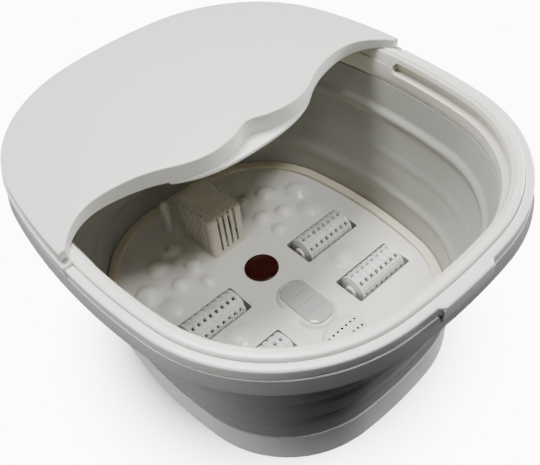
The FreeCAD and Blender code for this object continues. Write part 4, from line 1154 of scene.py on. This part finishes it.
@dataclass
class MassageFloor:
    """Floor tray with massage domes, four roller wells, the window's mound and the herb box's post.

    The ring that clamps the wall's foot to the floor is made with it.
    """

    deck: float = 41.4
    well_floor: float = 21.0
    wells: tuple[tuple[Flat, Flat], ...] = (((73, 2), (70, 34)), ((73, -68), (70, 34)))
    domes: tuple[Dome, ...] = (Dome(74, 91, 12, 6.5), Dome(46, 66, 10, 6), Dome(101, 69, 14, 7),
                               Dome(70, 56, 10, 6), Dome(48, 40, 9, 5), Dome(91, 39, 13, 4.5),
                               Dome(47, 100, 9, 5), Dome(68, -32, 15, 5))
    mound_at: Flat = (0, -50)
    mound_size: Flat = (40, 66)
    mound_top: float = 45.0
    mound_slope: float = 3.2
    dome_step: float = 0.7
    post_at: Flat = (-31, 127)
    post_radius: float = 4.5
    post_top: float = 79.9

    def all_domes(self) -> list[Dome]:
        """Return the domes of both sides."""
        return [Dome(side * dome.x, dome.y, dome.radius, dome.height)
                for dome in self.domes for side in (1, -1)]

    def lift(self, spots: np.ndarray) -> np.ndarray:
        """Return the floor's height at some places.

        Args:
            spots: The places.

        Returns:
            Heights in millimetres.
        """
        height = np.full(len(spots), self.deck)
        for dome in self.all_domes():
            reach = np.hypot(spots[:, 0] - dome.x, spots[:, 1] - dome.y)
            ball = (dome.radius ** 2 + dome.height ** 2) / (2 * dome.height)
            cap = np.sqrt(np.maximum(ball ** 2 - reach ** 2, 0)) - (ball - dome.height)
            foot = self.dome_step * np.exp(-np.maximum(reach - dome.radius, 0) / 0.9)
            rise = np.where(reach < dome.radius, np.maximum(cap, self.dome_step), foot - 0.02)
            height = np.maximum(height, self.deck + rise)
        wide, deep = self.mound_size
        away = np.maximum(np.abs(spots - np.array(self.mound_at)) - np.array([0, (deep - wide) / 2]), 0)
        slope = np.clip((wide / 2 - np.hypot(*away.T)) / self.mound_slope, 0, 1)
        return np.maximum(height, self.deck + (self.mound_top - self.deck) * np.sin(slope * math.pi / 2))

    def rings(self) -> list[Flat]:
        """Put points on rings round the domes and the mound, so that their edges are round.

        Returns:
            The points.
        """
        spots = []
        for dome in self.all_domes():
            for share in (0.25, 0.5, 0.7, 0.85, 0.95, 1.0, 1.06, 1.16):
                spots += circle((dome.x, dome.y), dome.radius * share, 36)
            spots.append((dome.x, dome.y))
        for inset in (-0.2, 0.5, 1.2, 2.0, 3.0, 4.0):
            size = (self.mound_size[0] - 2 * inset, self.mound_size[1] - 2 * inset)
            spots += rounded_rectangle(self.mound_at, size, size[0] / 2 - 0.01, 18)
        return spots

    def tray(self) -> Shape:
        """Model the tray with its wells, domes, mound and post.

        Returns:
            The shape.
        """
        shape = Shape()
        rim = [Oval(0.0).at(place, 10.0) for place in Oval().stations()]
        mouths = []
        for (x, y), size in self.wells:
            for side in (1, -1):
                mouth = densify(rounded_rectangle((side * x, y), (size[0] + 1.2, size[1] + 1.2), 2.6), 4.0)
                mouths.append(mouth)
                rows = [shape.loop((*spot, self.deck) for spot in mouth)]
                for inset, height in ((0.35, self.deck - 0.15), (0.6, self.deck - 0.6),
                                      (1.0, self.well_floor + 1.0), (2.0, self.well_floor)):
                    rows.append(shape.loop((*spot, height) for spot in pushed(mouth, inset)))
                # The well's deep walls and floor take slot 1, the painted shade of the wells.
                for step, (first, second) in enumerate(zip(rows, rows[1:])):
                    shape.band(first, second, slot=0 if step < 2 else 1)
                shape.face(rows[-1], 1)
        spots = [spot for spot in grid((-130, 131, 7), (-154, 155, 7)) + self.rings() if inside(spot, rim)]
        far = distance_to(np.array(spots), rim)
        for mouth in mouths:
            near = distance_to(np.array(spots), mouth)
            far = np.minimum(far, np.where([inside(spot, mouth) for spot in spots], 0, near))
        spots = [spot for spot, reach in zip(spots, far) if reach > 0.5]
        known: dict[Flat, float] = {}
        for spot, value in zip(spots, self.lift(np.array(spots))):
            known[(round(spot[0], 3), round(spot[1], 3))] = float(value)
        shape.cover([rim, *mouths], spots, lambda x, y: known.get((round(x, 3), round(y, 3)), self.deck))
        edge = shape.loop((x, y, self.deck) for x, y in rim)
        under = shape.loop((x, y, self.deck - 2.5) for x, y in rim)
        shape.band(under, edge)
        radius = self.post_radius
        foot = [(radius + 1.6, self.deck - 0.1), (radius + 0.5, self.deck + 0.5), (radius, self.deck + 1.8)]
        head = [(radius * math.cos(a), self.post_top - radius + radius * math.sin(a))
                for a in np.linspace(0, math.pi / 2 * 0.97, 9)]
        lathe(shape, foot + head, self.post_at, steps=32)
        return shape

    def clamp(self) -> Shape:
        """Model the ring that clamps the wall's foot to the floor.

        Returns:
            The shape.
        """
        shape = Shape()
        points = rounded([(3.4, 41.4, 0.3), (3.4, 45.4, 1.0), (12.5, 45.4, 1.6), (12.5, 41.4, 0.3)])
        shape.sweep(Oval().stations(), lambda _: [(0.0, x, z) for x, z in points])
        return shape

    def build(self) -> None:
        """Make the floor and its clamp ring."""
        tray = self.tray().build("massage_floor", [FLOOR_WHITE, WELL_PAINTED_SHADE], 50)
        Place("base", ("floor_tray",), "floor_plastic").settle(tray)
        # The ring's warm tone is a painted reflection.
        ring = self.clamp().build("floor_ring", [RING_PAINTED_REFLECTION])
        Place("base", ("lower_clamp_ring",), "ring_plastic").settle(ring)


@dataclass
class FootRoller:
    """Roller with nine bridged ribs, rows of fine nubs and rows of pits whose bottoms carry painted shade."""

    body: str
    node: str
    centre: Spot
    turned: float
    length: float = 60.0
    core: float = 11.0
    peak: float = 15.0
    bore: float = 2.55
    ribs: int = 9
    pitch: float = 6.95
    nubs: int = 24
    rows: int = 6
    pit: float = 2.0
    nub_height: float = 0.75
    rib_height: float = 1.15
    rib_foot: float = 1.9
    around: int = 144

    def radius(self, along: float, angle: float) -> float:
        """Work out the roller's radius: bridged ribs, with a row of pits in every groove.

        Args:
            along: Distance from the roller's middle.
            angle: Angle round the roller.

        Returns:
            The radius there.
        """
        index = round(along / self.pitch)
        offset = (along - index * self.pitch) / (self.pitch / 2)
        if abs(index) > self.ribs // 2:
            return self.core - 0.3
        rib = math.sqrt(max(0.0, 1 - abs(offset) ** 3.2))
        turn = 2 * math.pi / self.rows
        across = (angle / turn - round(angle / turn)) * turn * self.peak / self.pit
        gap = math.exp(-(across ** 4)) * min(1.0, max(0.0, (abs(offset) - 0.5) / 0.14))
        nub = self.nub_height * (0.5 + 0.5 * math.cos(self.nubs * angle)) * max(0.0, 1 - abs(offset) * 1.3)
        if abs(index) == self.ribs // 2 and offset * index > 0:
            gap = 0.0
        body = self.peak - self.rib_foot + self.rib_height * rib + nub
        return body + (self.core - body) * gap

    def darken(self, shape: Shape) -> None:
        """Give the bottoms of the pits near-black painted shade.

        Args:
            shape: The roller's shape.
        """
        _, y, z = self.centre
        limit = self.peak - 2.1
        for index, corners in enumerate(shape.faces):
            spots = [shape.spots[k] for k in corners]
            inner = all(self.core - 0.1 < math.hypot(s[1] - y, s[2] - z) < limit for s in spots)
            middle = abs(sum(s[0] for s in spots) / len(spots) - self.centre[0]) < self.length / 2 - 1.6
            if inner and middle:
                shape.slots[index] = 1

    def build(self) -> None:
        """Make the roller."""
        shape = Shape()
        half = self.length / 2
        stations = [(-half, self.bore), (-half, self.core - 1.0), (-half + 0.4, self.core - 0.3)]
        stations += [(along, None) for along in np.linspace(-half + 0.9, half - 0.9, 118)]
        stations += [(half - 0.4, self.core - 0.3), (half, self.core - 1.0), (half, self.bore)]
        rows = []
        x, y, z = self.centre
        for along, fixed in stations:
            row = []
            for k in range(self.around):
                angle = 2 * math.pi * k / self.around + self.turned
                radius = fixed if fixed is not None else self.radius(along, angle - self.turned)
                row.append((x + along, y + radius * math.cos(angle), z + radius * math.sin(angle)))
            rows.append(shape.loop(row))
        shape.stack(rows)
        shape.band(rows[-1], rows[0])
        self.darken(shape)
        name = self.node.replace("roller_", "nubbed_roller_")
        roller = shape.build(name, [ROLLER_GREY, DEEP_PAINTED_SHADE], sharp=45)
        Place(self.body, (self.node,), "roller_plastic").settle(roller)


# ------------------------------------------------------------------------------------- fittings of the floor
@dataclass
class HerbBox:
    """Slotted herb box with a dimpled cap whose edge is notched where the slots run over it."""

    centre: Flat = (-4.0, 84.0)
    size: Flat = (42.0, 56.0)
    corner: float = 6.0
    low: float = 41.4
    high: float = 89.4
    slot_low: float = 46.4
    slot_high: float = 88.6
    slot_width: float = 2.4
    pitch: float = 6.6
    wall: float = 2.0
    cap_top: float = 93.0
    side_slots: int = 7
    front_slots: int = 4
    dimple_pitch: Flat = (6.2, 6.4)
    dimple_radius: float = 1.3
    cap_inset: float = 3.8

    def slot_edges(self) -> list[tuple[Flat, Flat, bool]]:
        """Cut the outline into plain pieces and slots.

        Returns:
            Start and end of each piece, anticlockwise, and whether it is a slot.
        """
        half_x, half_y, r = self.size[0] / 2, self.size[1] / 2, self.corner
        cx, cy = self.centre
        pieces: list[tuple[Flat, Flat, bool]] = []

        def straight(start: Flat, stop: Flat, slots: int) -> None:
            """Add one straight side.

            Args:
                start: Its start.
                stop: Its end.
                slots: How many slots it has.
            """
            length = math.hypot(stop[0] - start[0], stop[1] - start[1])
            marks = [0.0]
            for k in range(slots):
                middle = length / 2 + (k - (slots - 1) / 2) * self.pitch
                marks += [middle - self.slot_width / 2, middle + self.slot_width / 2]
            marks.append(length)
            spots = [(start[0] + (stop[0] - start[0]) * mark / length,
                      start[1] + (stop[1] - start[1]) * mark / length) for mark in marks]
            pieces.extend((a, b, k % 2 == 1) for k, (a, b) in enumerate(zip(spots, spots[1:])))

        def bend(x: float, y: float, start: float) -> None:
            """Add one round corner.

            Args:
                x: X of its centre.
                y: Y of its centre.
                start: Its first angle.
            """
            turns = [start + math.pi / 2 * k / 8 for k in range(9)]
            spots = [(x + r * math.cos(turn), y + r * math.sin(turn)) for turn in turns]
            pieces.extend((a, b, False) for a, b in zip(spots, spots[1:]))

        straight((cx + half_x, cy - half_y + r), (cx + half_x, cy + half_y - r), self.side_slots)
        bend(cx + half_x - r, cy + half_y - r, 0)
        straight((cx + half_x - r, cy + half_y), (cx - half_x + r, cy + half_y), self.front_slots)
        bend(cx - half_x + r, cy + half_y - r, math.pi / 2)
        straight((cx - half_x, cy + half_y - r), (cx - half_x, cy - half_y + r), self.side_slots)
        bend(cx - half_x + r, cy - half_y + r, math.pi)
        straight((cx - half_x + r, cy - half_y), (cx + half_x - r, cy - half_y), self.front_slots)
        bend(cx + half_x - r, cy - half_y + r, 1.5 * math.pi)
        return pieces

    def cage(self) -> Shape:
        """Model the box's slotted wall.

        Returns:
            The shape.
        """
        shape = Shape()
        pieces = self.slot_edges()
        starts = [start for start, _, _ in pieces]
        lining = pushed(starts, self.wall)
        heights = [self.low, self.slot_low, self.slot_high, self.high]
        outer = [shape.loop((*spot, z) for spot in starts) for z in heights]
        inner = [shape.loop((*spot, z) for spot in lining) for z in heights]
        count = len(pieces)
        for k, (_, _, hollow) in enumerate(pieces):
            n = (k + 1) % count
            for level in range(3):
                if hollow and level == 1:
                    continue
                shape.face((outer[level][k], outer[level][n], outer[level + 1][n], outer[level + 1][k]))
                # Inner faces take slot 1: near-black painted shade inside the box.
                shape.face((inner[level][n], inner[level][k], inner[level + 1][k], inner[level + 1][n]), 1)
            if hollow:
                shape.face((outer[1][k], outer[1][n], inner[1][n], inner[1][k]))
                shape.face((outer[2][n], outer[2][k], inner[2][k], inner[2][n]))
                shape.face((outer[1][k], inner[1][k], inner[2][k], outer[2][k]))
                shape.face((inner[1][n], outer[1][n], outer[2][n], inner[2][n]))
        shape.band(outer[3], inner[3])
        shape.band(inner[0], outer[0])
        return shape

    def notched(self, inset: float, deep: float) -> list[Flat]:
        """Draw the cap's notched outline.

        Args:
            inset: How far it is moved inwards.
            deep: Depth of the notches.

        Returns:
            Its points, anticlockwise.
        """
        loop = []
        pieces = self.slot_edges()
        plain = pushed([start for start, _, _ in pieces], inset)
        count = len(pieces)
        for k, (_, _, hollow) in enumerate(pieces):
            a, b = Vector(plain[k]), Vector(plain[(k + 1) % count])
            loop.append(tuple(a))
            if hollow:
                along = (b - a).normalized()
                inward = Vector((-along.y, along.x)) * deep
                loop += [tuple(a + inward), tuple(b + inward)]
            else:
                loop += [tuple(a.lerp(b, 0.34)), tuple(a.lerp(b, 0.67))]
        return [(float(x), float(y)) for x, y in loop]

    def cap(self) -> Shape:
        """Model the cap with its notched edge and its dimples.

        Returns:
            The shape.
        """
        shape = Shape()
        rows = []
        for inset, height in ((0.1, self.high + 0.02), (0.0, self.high + 0.3), (0.45, self.high + 1.5),
                              (1.3, self.high + 2.6), (2.5, self.high + 3.25),
                              (self.cap_inset, self.cap_top - 0.05)):
            outline = self.notched(inset, max(0.03, 2.8 - 0.72 * inset))
            rows.append(shape.loop((*spot, height) for spot in outline))
        shape.stack(rows)
        top = self.notched(self.cap_inset, 0.03)
        holes = []
        for column in range(5):
            for row in range(7):
                x = self.centre[0] + (column - 2) * self.dimple_pitch[0]
                y = self.centre[1] + (row - 3) * self.dimple_pitch[1]
                holes.append(circle((x, y), self.dimple_radius, 14))
                bowl = [shape.loop((*spot, self.cap_top - drop)
                                   for spot in circle((x, y), self.dimple_radius * scale, 14))
                        for scale, drop in ((1.0, 0.0), (0.82, 0.25), (0.6, 0.6), (0.3, 0.8))]
                shape.stack(bowl)
                shape.face(bowl[-1])
        shape.cover([top, *holes], [], lambda x, y: self.cap_top)
        shape.face(reversed(rows[0]))
        return shape

    def build(self) -> None:
        """Make the herb box."""
        cage = self.cage().build("herb_cage", [HERB_BEIGE, DEEP_PAINTED_SHADE])
        Place("herb_box", ("herb_box_cage",), "herb_plastic").settle(cage)
        cap = self.cap().build("herb_cap", [HERB_BEIGE])
        Place("herb_box", ("herb_box_cap",), "herb_plastic").settle(cap)


@dataclass
class FloorFittings:
    """Infrared lens, milky light window and bubble cap."""

    lens_at: Flat = (0.0, 14.0)
    lens_radius: float = 17.3
    window_at: Flat = (0.0, -50.0)
    window_size: Flat = (30.0, 56.0)
    window_corner: float = 11.0
    window_low: float = 45.0
    window_high: float = 47.4
    cap_at: Flat = (0.0, -99.0)
    cap_half: Flat = (23.0, 16.0)
    cap_shoulder: float = 44.6
    cap_high: float = 47.9
    cap_edge: float = 0.985
    hole_rows: Flat = (-96.2, -105.7)
    hole_pitch: float = 5.4
    hole_radius: float = 1.3
    bars: tuple[float, ...] = (-62.0, -50.0, -38.0)

    def lens(self) -> Shape:
        """Model the lens, with a raised bead round its edge.

        Returns:
            The shape.
        """
        shape = Shape()
        r = self.lens_radius
        lathe(shape, [(r, 41.9), (r, 42.8), (r - 0.5, 43.3), (r - 1.3, 43.4), (r - 2.2, 43.1),
                      (r - 3.0, 42.75), (10.5, 43.0), (6.0, 43.25), (2.5, 43.35), (0.4, 43.38)],
              self.lens_at, steps=72)
        return shape

    def window(self) -> Shape:
        """Model the milky window, grooved across.

        Returns:
            The shape.
        """
        shape = Shape()
        size = self.window_size
        rows = []
        for inset, height in ((0.2, self.window_low), (0.0, self.window_low + 0.4),
                              (0.1, self.window_high - 1.0), (0.7, self.window_high - 0.35),
                              (1.8, self.window_high - 0.05)):
            loop = densify(rounded_rectangle(self.window_at, (size[0] - 2 * inset, size[1] - 2 * inset),
                                             self.window_corner - inset, 12), 3.0)
            rows.append(shape.loop((*spot, height) for spot in loop))
            last = loop
        shape.stack(rows)

        def pane(x: float, y: float) -> float:
            """Return the pane's height at a place.

            Args:
                x: X of the place.
                y: Y of the place.

            Returns:
                The height, lower in the grooves.
            """
            groove = 0.75 * max(math.exp(-((y - bar) / 0.8) ** 2) for bar in self.bars)
            clear = distance_to(np.array([[x, y]]), last)[0] > 2.5
            return self.window_high - 0.05 - (groove if clear else 0.0)

        shape.cover([last], well_inside(grid((-12, 12.1, 3), (-78, -22, 0.5)), last, 0.6), pane)
        shape.face(reversed(rows[0]))
        return shape

    def bubble_cap(self) -> Shape:
        """Model the bubble cap with its two rows of holes.

        Returns:
            The shape.
        """
        shape = Shape()
        wide, deep = self.cap_half
        cx, cy = self.cap_at

        def crown(x: float, y: float) -> float:
            """Return the cap's height at a place.

            Args:
                x: X of the place.
                y: Y of the place.

            Returns:
                The height.
            """
            reach = min(1.0, math.hypot((x - cx) / wide, (y - cy) / deep))
            share = math.sqrt(max(0.0, 1 - reach ** 2.6))
            return self.cap_shoulder + (self.cap_high - self.cap_shoulder) * share

        def ellipse(scale: float) -> list[Flat]:
            """Draw the cap's outline at a scale.

            Args:
                scale: Its share of the full size.

            Returns:
                Its points, anticlockwise.
            """
            turns = [2 * math.pi * k / 64 for k in range(64)]
            return [(cx + wide * scale * math.cos(turn), cy + deep * scale * math.sin(turn))
                    for turn in turns]

        foot = [shape.loop((*spot, height) for spot in ellipse(scale))
                for scale, height in ((1.0, 41.4), (1.0, 43.6), (0.995, self.cap_shoulder),
                                      (self.cap_edge, crown(cx + wide * self.cap_edge, cy)))]
        shape.stack(foot)
        holes = []
        for y in self.hole_rows:
            for k in range(7):
                x = (k - 3) * self.hole_pitch
                if math.hypot((x - cx) / wide, (y - cy) / deep) > 0.86:
                    continue
                mouth = circle((x, y), self.hole_radius, 12)
                holes.append(mouth)
                rows = [shape.loop((px, py, crown(px, py)) for px, py in mouth),
                        shape.loop((px, py, crown(x, y) - 3.0) for px, py in mouth)]
                # The holes' walls and bottoms take slot 1, near-black painted shade.
                shape.band(rows[0], rows[1], slot=1)
                shape.face(rows[1], 1)
        edge = ellipse(self.cap_edge)
        scales = (0.96, 0.92, 0.86, 0.78, 0.68, 0.56, 0.42, 0.28, 0.12)
        rings = [spot for scale in scales for spot in ellipse(scale)[::2]]
        blocked = np.full(len(rings), 1e9)
        for mouth in holes:
            blocked = np.minimum(blocked, np.where([inside(s, mouth) for s in rings], 0,
                                                   distance_to(np.array(rings), mouth)))
        free = [spot for spot, far in zip(rings, blocked) if far > 0.4]
        shape.cover([edge, *holes], free, crown)
        return shape

    def build(self) -> None:
        """Make the fittings."""
        lens = self.lens().build("red_lens_dome", [LENS_RED])
        Place("base", ("infrared_lens",), "lens_red").settle(lens)
        window = self.window().build("milky_window_pane", [WINDOW_MILK])
        Place("base", ("light_window",), "window_clear").settle(window)
        cap = self.bubble_cap().build("bubble_cap_skin", [CAP_WHITE, DEEP_PAINTED_SHADE])
        Place("base", ("bubble_cap",), "cap_plastic").settle(cap)


@dataclass
class ButtonMarks:
    """Plain raised signs on the three buttons: a ring with a bar, three heat waves and three bubbles."""

    face: float = 146.4
    raised: float = 0.25
    level: float = 21.0
    width: float = 0.65
    power_at: float = -28.0
    heat_at: float = -8.0
    bubble_at: float = 12.0
    taper: float = 0.7

    def stroke(self, shape: Shape, line: Sequence[Flat]) -> None:
        """Add one raised stroke.

        Args:
            shape: The shape to add to.
            line: The stroke's middle line, as Y and Z.
        """
        rows = []
        for k, (y, z) in enumerate(line):
            before, after = line[max(k - 1, 0)], line[min(k + 1, len(line) - 1)]
            foot = Vector((after[0] - before[0], after[1] - before[1])).normalized() * self.width / 2
            top = foot * self.taper
            low, high = self.face - 0.1, self.face + self.raised
            rows.append(shape.loop([(low, y - foot.y, z + foot.x), (high, y - top.y, z + top.x),
                                    (high, y + top.y, z - top.x), (low, y + foot.y, z - foot.x)]))
        shape.stack(rows)
        shape.face(rows[0])
        shape.face(reversed(rows[-1]))

    def arc(self, y: float, z: float, radius: float, start: float, stop: float) -> list[Flat]:
        """Return an arc's points; the angles are in degrees."""
        return [(y + radius * math.cos(math.radians(angle)), z + radius * math.sin(math.radians(angle)))
                for angle in np.linspace(start, stop, 25)]

    def strokes(self) -> dict[str, list[list[Flat]]]:
        """Draw the three signs.

        Returns:
            The strokes of each button's sign, as Y and Z.
        """
        waves = [[(self.heat_at + shift + 0.45 * math.sin(turn), self.level + 2.3 * (turn / math.pi - 1))
                  for turn in np.linspace(0, 2 * math.pi, 17)] for shift in (-1.9, 0.0, 1.9)]
        bubbles = [self.arc(self.bubble_at + y, self.level + z, radius, 0, 350)
                   for y, z, radius in ((-1.3, -1.1, 1.3), (1.6, -0.4, 0.9), (0.2, 2.0, 0.7))]
        power = [self.arc(self.power_at, self.level - 0.2, 2.3, 125, 415),
                 [(self.power_at, self.level + 0.5), (self.power_at, self.level + 2.9)]]
        return {"power": power, "heat": waves, "bubble": bubbles}

    def build(self) -> None:
        """Make the signs."""
        for name, lines in self.strokes().items():
            shape = Shape()
            for line in lines:
                self.stroke(shape, line)
            Place(f"{name}_key", slot="panel_plastic").settle(shape.build(f"{name}_sign", [PANEL_BLACK]))


@dataclass
class CarriedParts:
    """Finishes for the CAD nodes that are kept as they are."""

    finishes: dict[str, Finish]

    def dress(self, nodes: dict[str, bpy.types.Object]) -> None:
        """Give every carried-over node its finish.

        Args:
            nodes: The CAD nodes by name.
        """
        for name, finish in self.finishes.items():
            node = nodes[name]
            node.data.materials.clear()
            node.data.materials.append(finish.make())
            LOG.info("%s: %s", name, finish.name)


# ------------------------------------------------------------------------------------------------- studio
def hang(data: bpy.types.Light, place: Spot, aim: Spot) -> bpy.types.Object:
    """Put a light in its place and turn it to its aim.

    Args:
        data: The light's settings.
        place: Where it hangs.
        aim: Where it points.

    Returns:
        The light's object.
    """
    lamp = bpy.data.objects.new(data.name, data)
    bpy.context.collection.objects.link(lamp)
    lamp.location = place
    lamp.rotation_euler = (Vector(aim) - Vector(place)).to_track_quat("-Z", "Y").to_euler()
    return lamp


@dataclass(frozen=True)
class SoftLight:
    """One rectangular soft light."""

    name: str
    place: Spot
    aim: Spot
    size: Flat
    power: float

    def build(self) -> bpy.types.Object:
        """Make the light.

        Returns:
            The light's object.
        """
        data = bpy.data.lights.new(self.name, "AREA")
        data.shape = "RECTANGLE"
        data.size, data.size_y = self.size
        data.energy = self.power
        return hang(data, self.place, self.aim)


@dataclass(frozen=True)
class FocusLight:
    """One soft-edged spot that reaches into the basin."""

    name: str
    place: Spot
    aim: Spot
    spread: float
    radius: float
    power: float

    def build(self) -> bpy.types.Object:
        """Make the light.

        Returns:
            The light's object.
        """
        data = bpy.data.lights.new(self.name, "SPOT")
        data.spot_size = math.radians(self.spread)
        data.spot_blend = 0.6
        data.shadow_soft_size = self.radius
        data.energy = self.power
        return hang(data, self.place, self.aim)


@dataclass
class Studio:
    """Camera, soft lights, and the pale floor that fades into a white world."""

    azimuth: float = -37.03
    elevation: float = 47.02
    roll: float = -7.18
    distance: float = 0.669
    target: Spot = (0.0194, 0.0187, 0.0751)
    lens: float = 45.62
    glow: Colour = (0.035, 0.035, 0.038, 1.0)
    backdrop: Colour = (12.0, 12.0, 12.0, 1.0)
    fade_start: float = 0.13
    fade_end: float = 0.235
    focus: FocusLight = FocusLight("into_basin", (0.10, -0.54, 1.36), (0.0, 0.02, 0.06), 13.8, 0.20, 122.0)
    lights: tuple[SoftLight, ...] = (
        SoftLight("overhead", (0.0, 0.42, 1.5), (0.0, 0.0, 0.1), (0.8, 0.5), 52.0),
        SoftLight("left_side", (-1.25, 0.50, 0.30), (0.0, 0.0, 0.08), (0.5, 0.4), 13.0),
        SoftLight("right_side", (1.25, -0.34, 0.28), (0.0, 0.0, 0.07), (0.5, 0.4), 28.0),
    )

    def camera(self) -> None:
        """Make the camera."""
        az, el, roll = (math.radians(angle) for angle in (self.azimuth, self.elevation, self.roll))
        back = Vector((math.sin(az) * math.cos(el), -math.cos(az) * math.cos(el), math.sin(el)))
        right = Vector((math.cos(az), math.sin(az), 0))
        up = back.cross(right)
        turned_right = right * math.cos(roll) + up * math.sin(roll)
        turned_up = up * math.cos(roll) - right * math.sin(roll)
        place = Vector(self.target) + back * self.distance
        data = bpy.data.cameras.new("main_camera")
        data.sensor_width = 36.0
        data.lens = self.lens
        data.clip_start = 0.01
        camera = bpy.data.objects.new("main_camera", data)
        bpy.context.collection.objects.link(camera)
        camera.matrix_world = Matrix((
            (turned_right.x, turned_up.x, back.x, place.x), (turned_right.y, turned_up.y, back.y, place.y),
            (turned_right.z, turned_up.z, back.z, place.z), (0, 0, 0, 1)))
        bpy.context.scene.camera = camera

    def world(self) -> None:
        """Make a world that is white to the camera and dim as a light."""
        world = bpy.data.worlds.new("white_world")
        world.use_nodes = True
        bpy.context.scene.world = world
        graph = Graph(world.node_tree)
        ray = graph.add("ShaderNodeLightPath", {}, {}, "Is Camera Ray")
        colour = graph.add("ShaderNodeMix", {"data_type": "RGBA"},
                           {"Factor": ray, "A": self.glow, "B": self.backdrop}, "Result")
        shine = graph.raw("ShaderNodeBackground", {}, {"Color": colour, "Strength": 1.0})
        end = graph.raw("ShaderNodeOutputWorld", {}, {})
        graph.tree.links.new(shine.outputs[0], end.inputs["Surface"])

    def floor(self) -> bpy.types.Object:
        """Make the pale floor disc, which fades out at its edge.

        Returns:
            The disc.
        """
        shape = Shape()
        rows = [shape.loop((*spot, -0.05) for spot in circle((0.0, 0.0), radius, 96))
                for radius in (60.0, 240.0, 480.0, 900.0)]
        shape.stack(rows)
        shape.face(rows[0])
        plane = shape.build("pale_floor", [])
        material = bpy.data.materials.new("pale_floor")
        material.use_nodes = True
        graph = Graph(material.node_tree)
        place = graph.add("ShaderNodeTexCoord", {}, {}, "Object")
        reach = graph.add("ShaderNodeVectorMath", {"operation": "LENGTH"}, {0: place}, "Value")
        fade = graph.add("ShaderNodeMapRange", {"interpolation_type": "SMOOTHSTEP"},
                         {"Value": reach, "From Min": self.fade_start, "From Max": self.fade_end,
                          "To Min": 1.0, "To Max": 0.0})
        surface = graph.raw("ShaderNodeBsdfPrincipled", {}, {
            "Base Color": (0.86, 0.86, 0.86, 1), "Roughness": 0.75, "Alpha": fade, "Specular IOR Level": 0.2})
        end = graph.raw("ShaderNodeOutputMaterial", {}, {})
        graph.tree.links.new(surface.outputs[0], end.inputs["Surface"])
        plane.data.materials.append(material)
        return plane

    def build(self) -> None:
        """Make the studio."""
        self.camera()
        self.world()
        self.floor()
        self.focus.build()
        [light.build() for light in self.lights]


def main() -> None:
    """Build the basin's looks."""
    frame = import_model()
    for part in (TopRim(), InnerLip(), CarryHandle(), SplashLid(), FoldingWall(), MassageFloor(), HerbBox(),
                 FloorFittings(), ButtonMarks()):
        part.build()
        LOG.info("built %s", type(part).__name__)
    turn = 0.0
    for depth, y in (("rear", 2.0), ("front", -68.0)):
        for side, x in (("right", 73.0), ("left", -73.0)):
            turn += ROLLER_TURN
            FootRoller(f"{depth}_{side}_roller", f"roller_{depth}_{side}", (x, y, 38.4), turn).build()
    CarriedParts(CARRIED).dress(frame["nodes"])
    Studio().build()


if __name__ == "__main__":
    main()
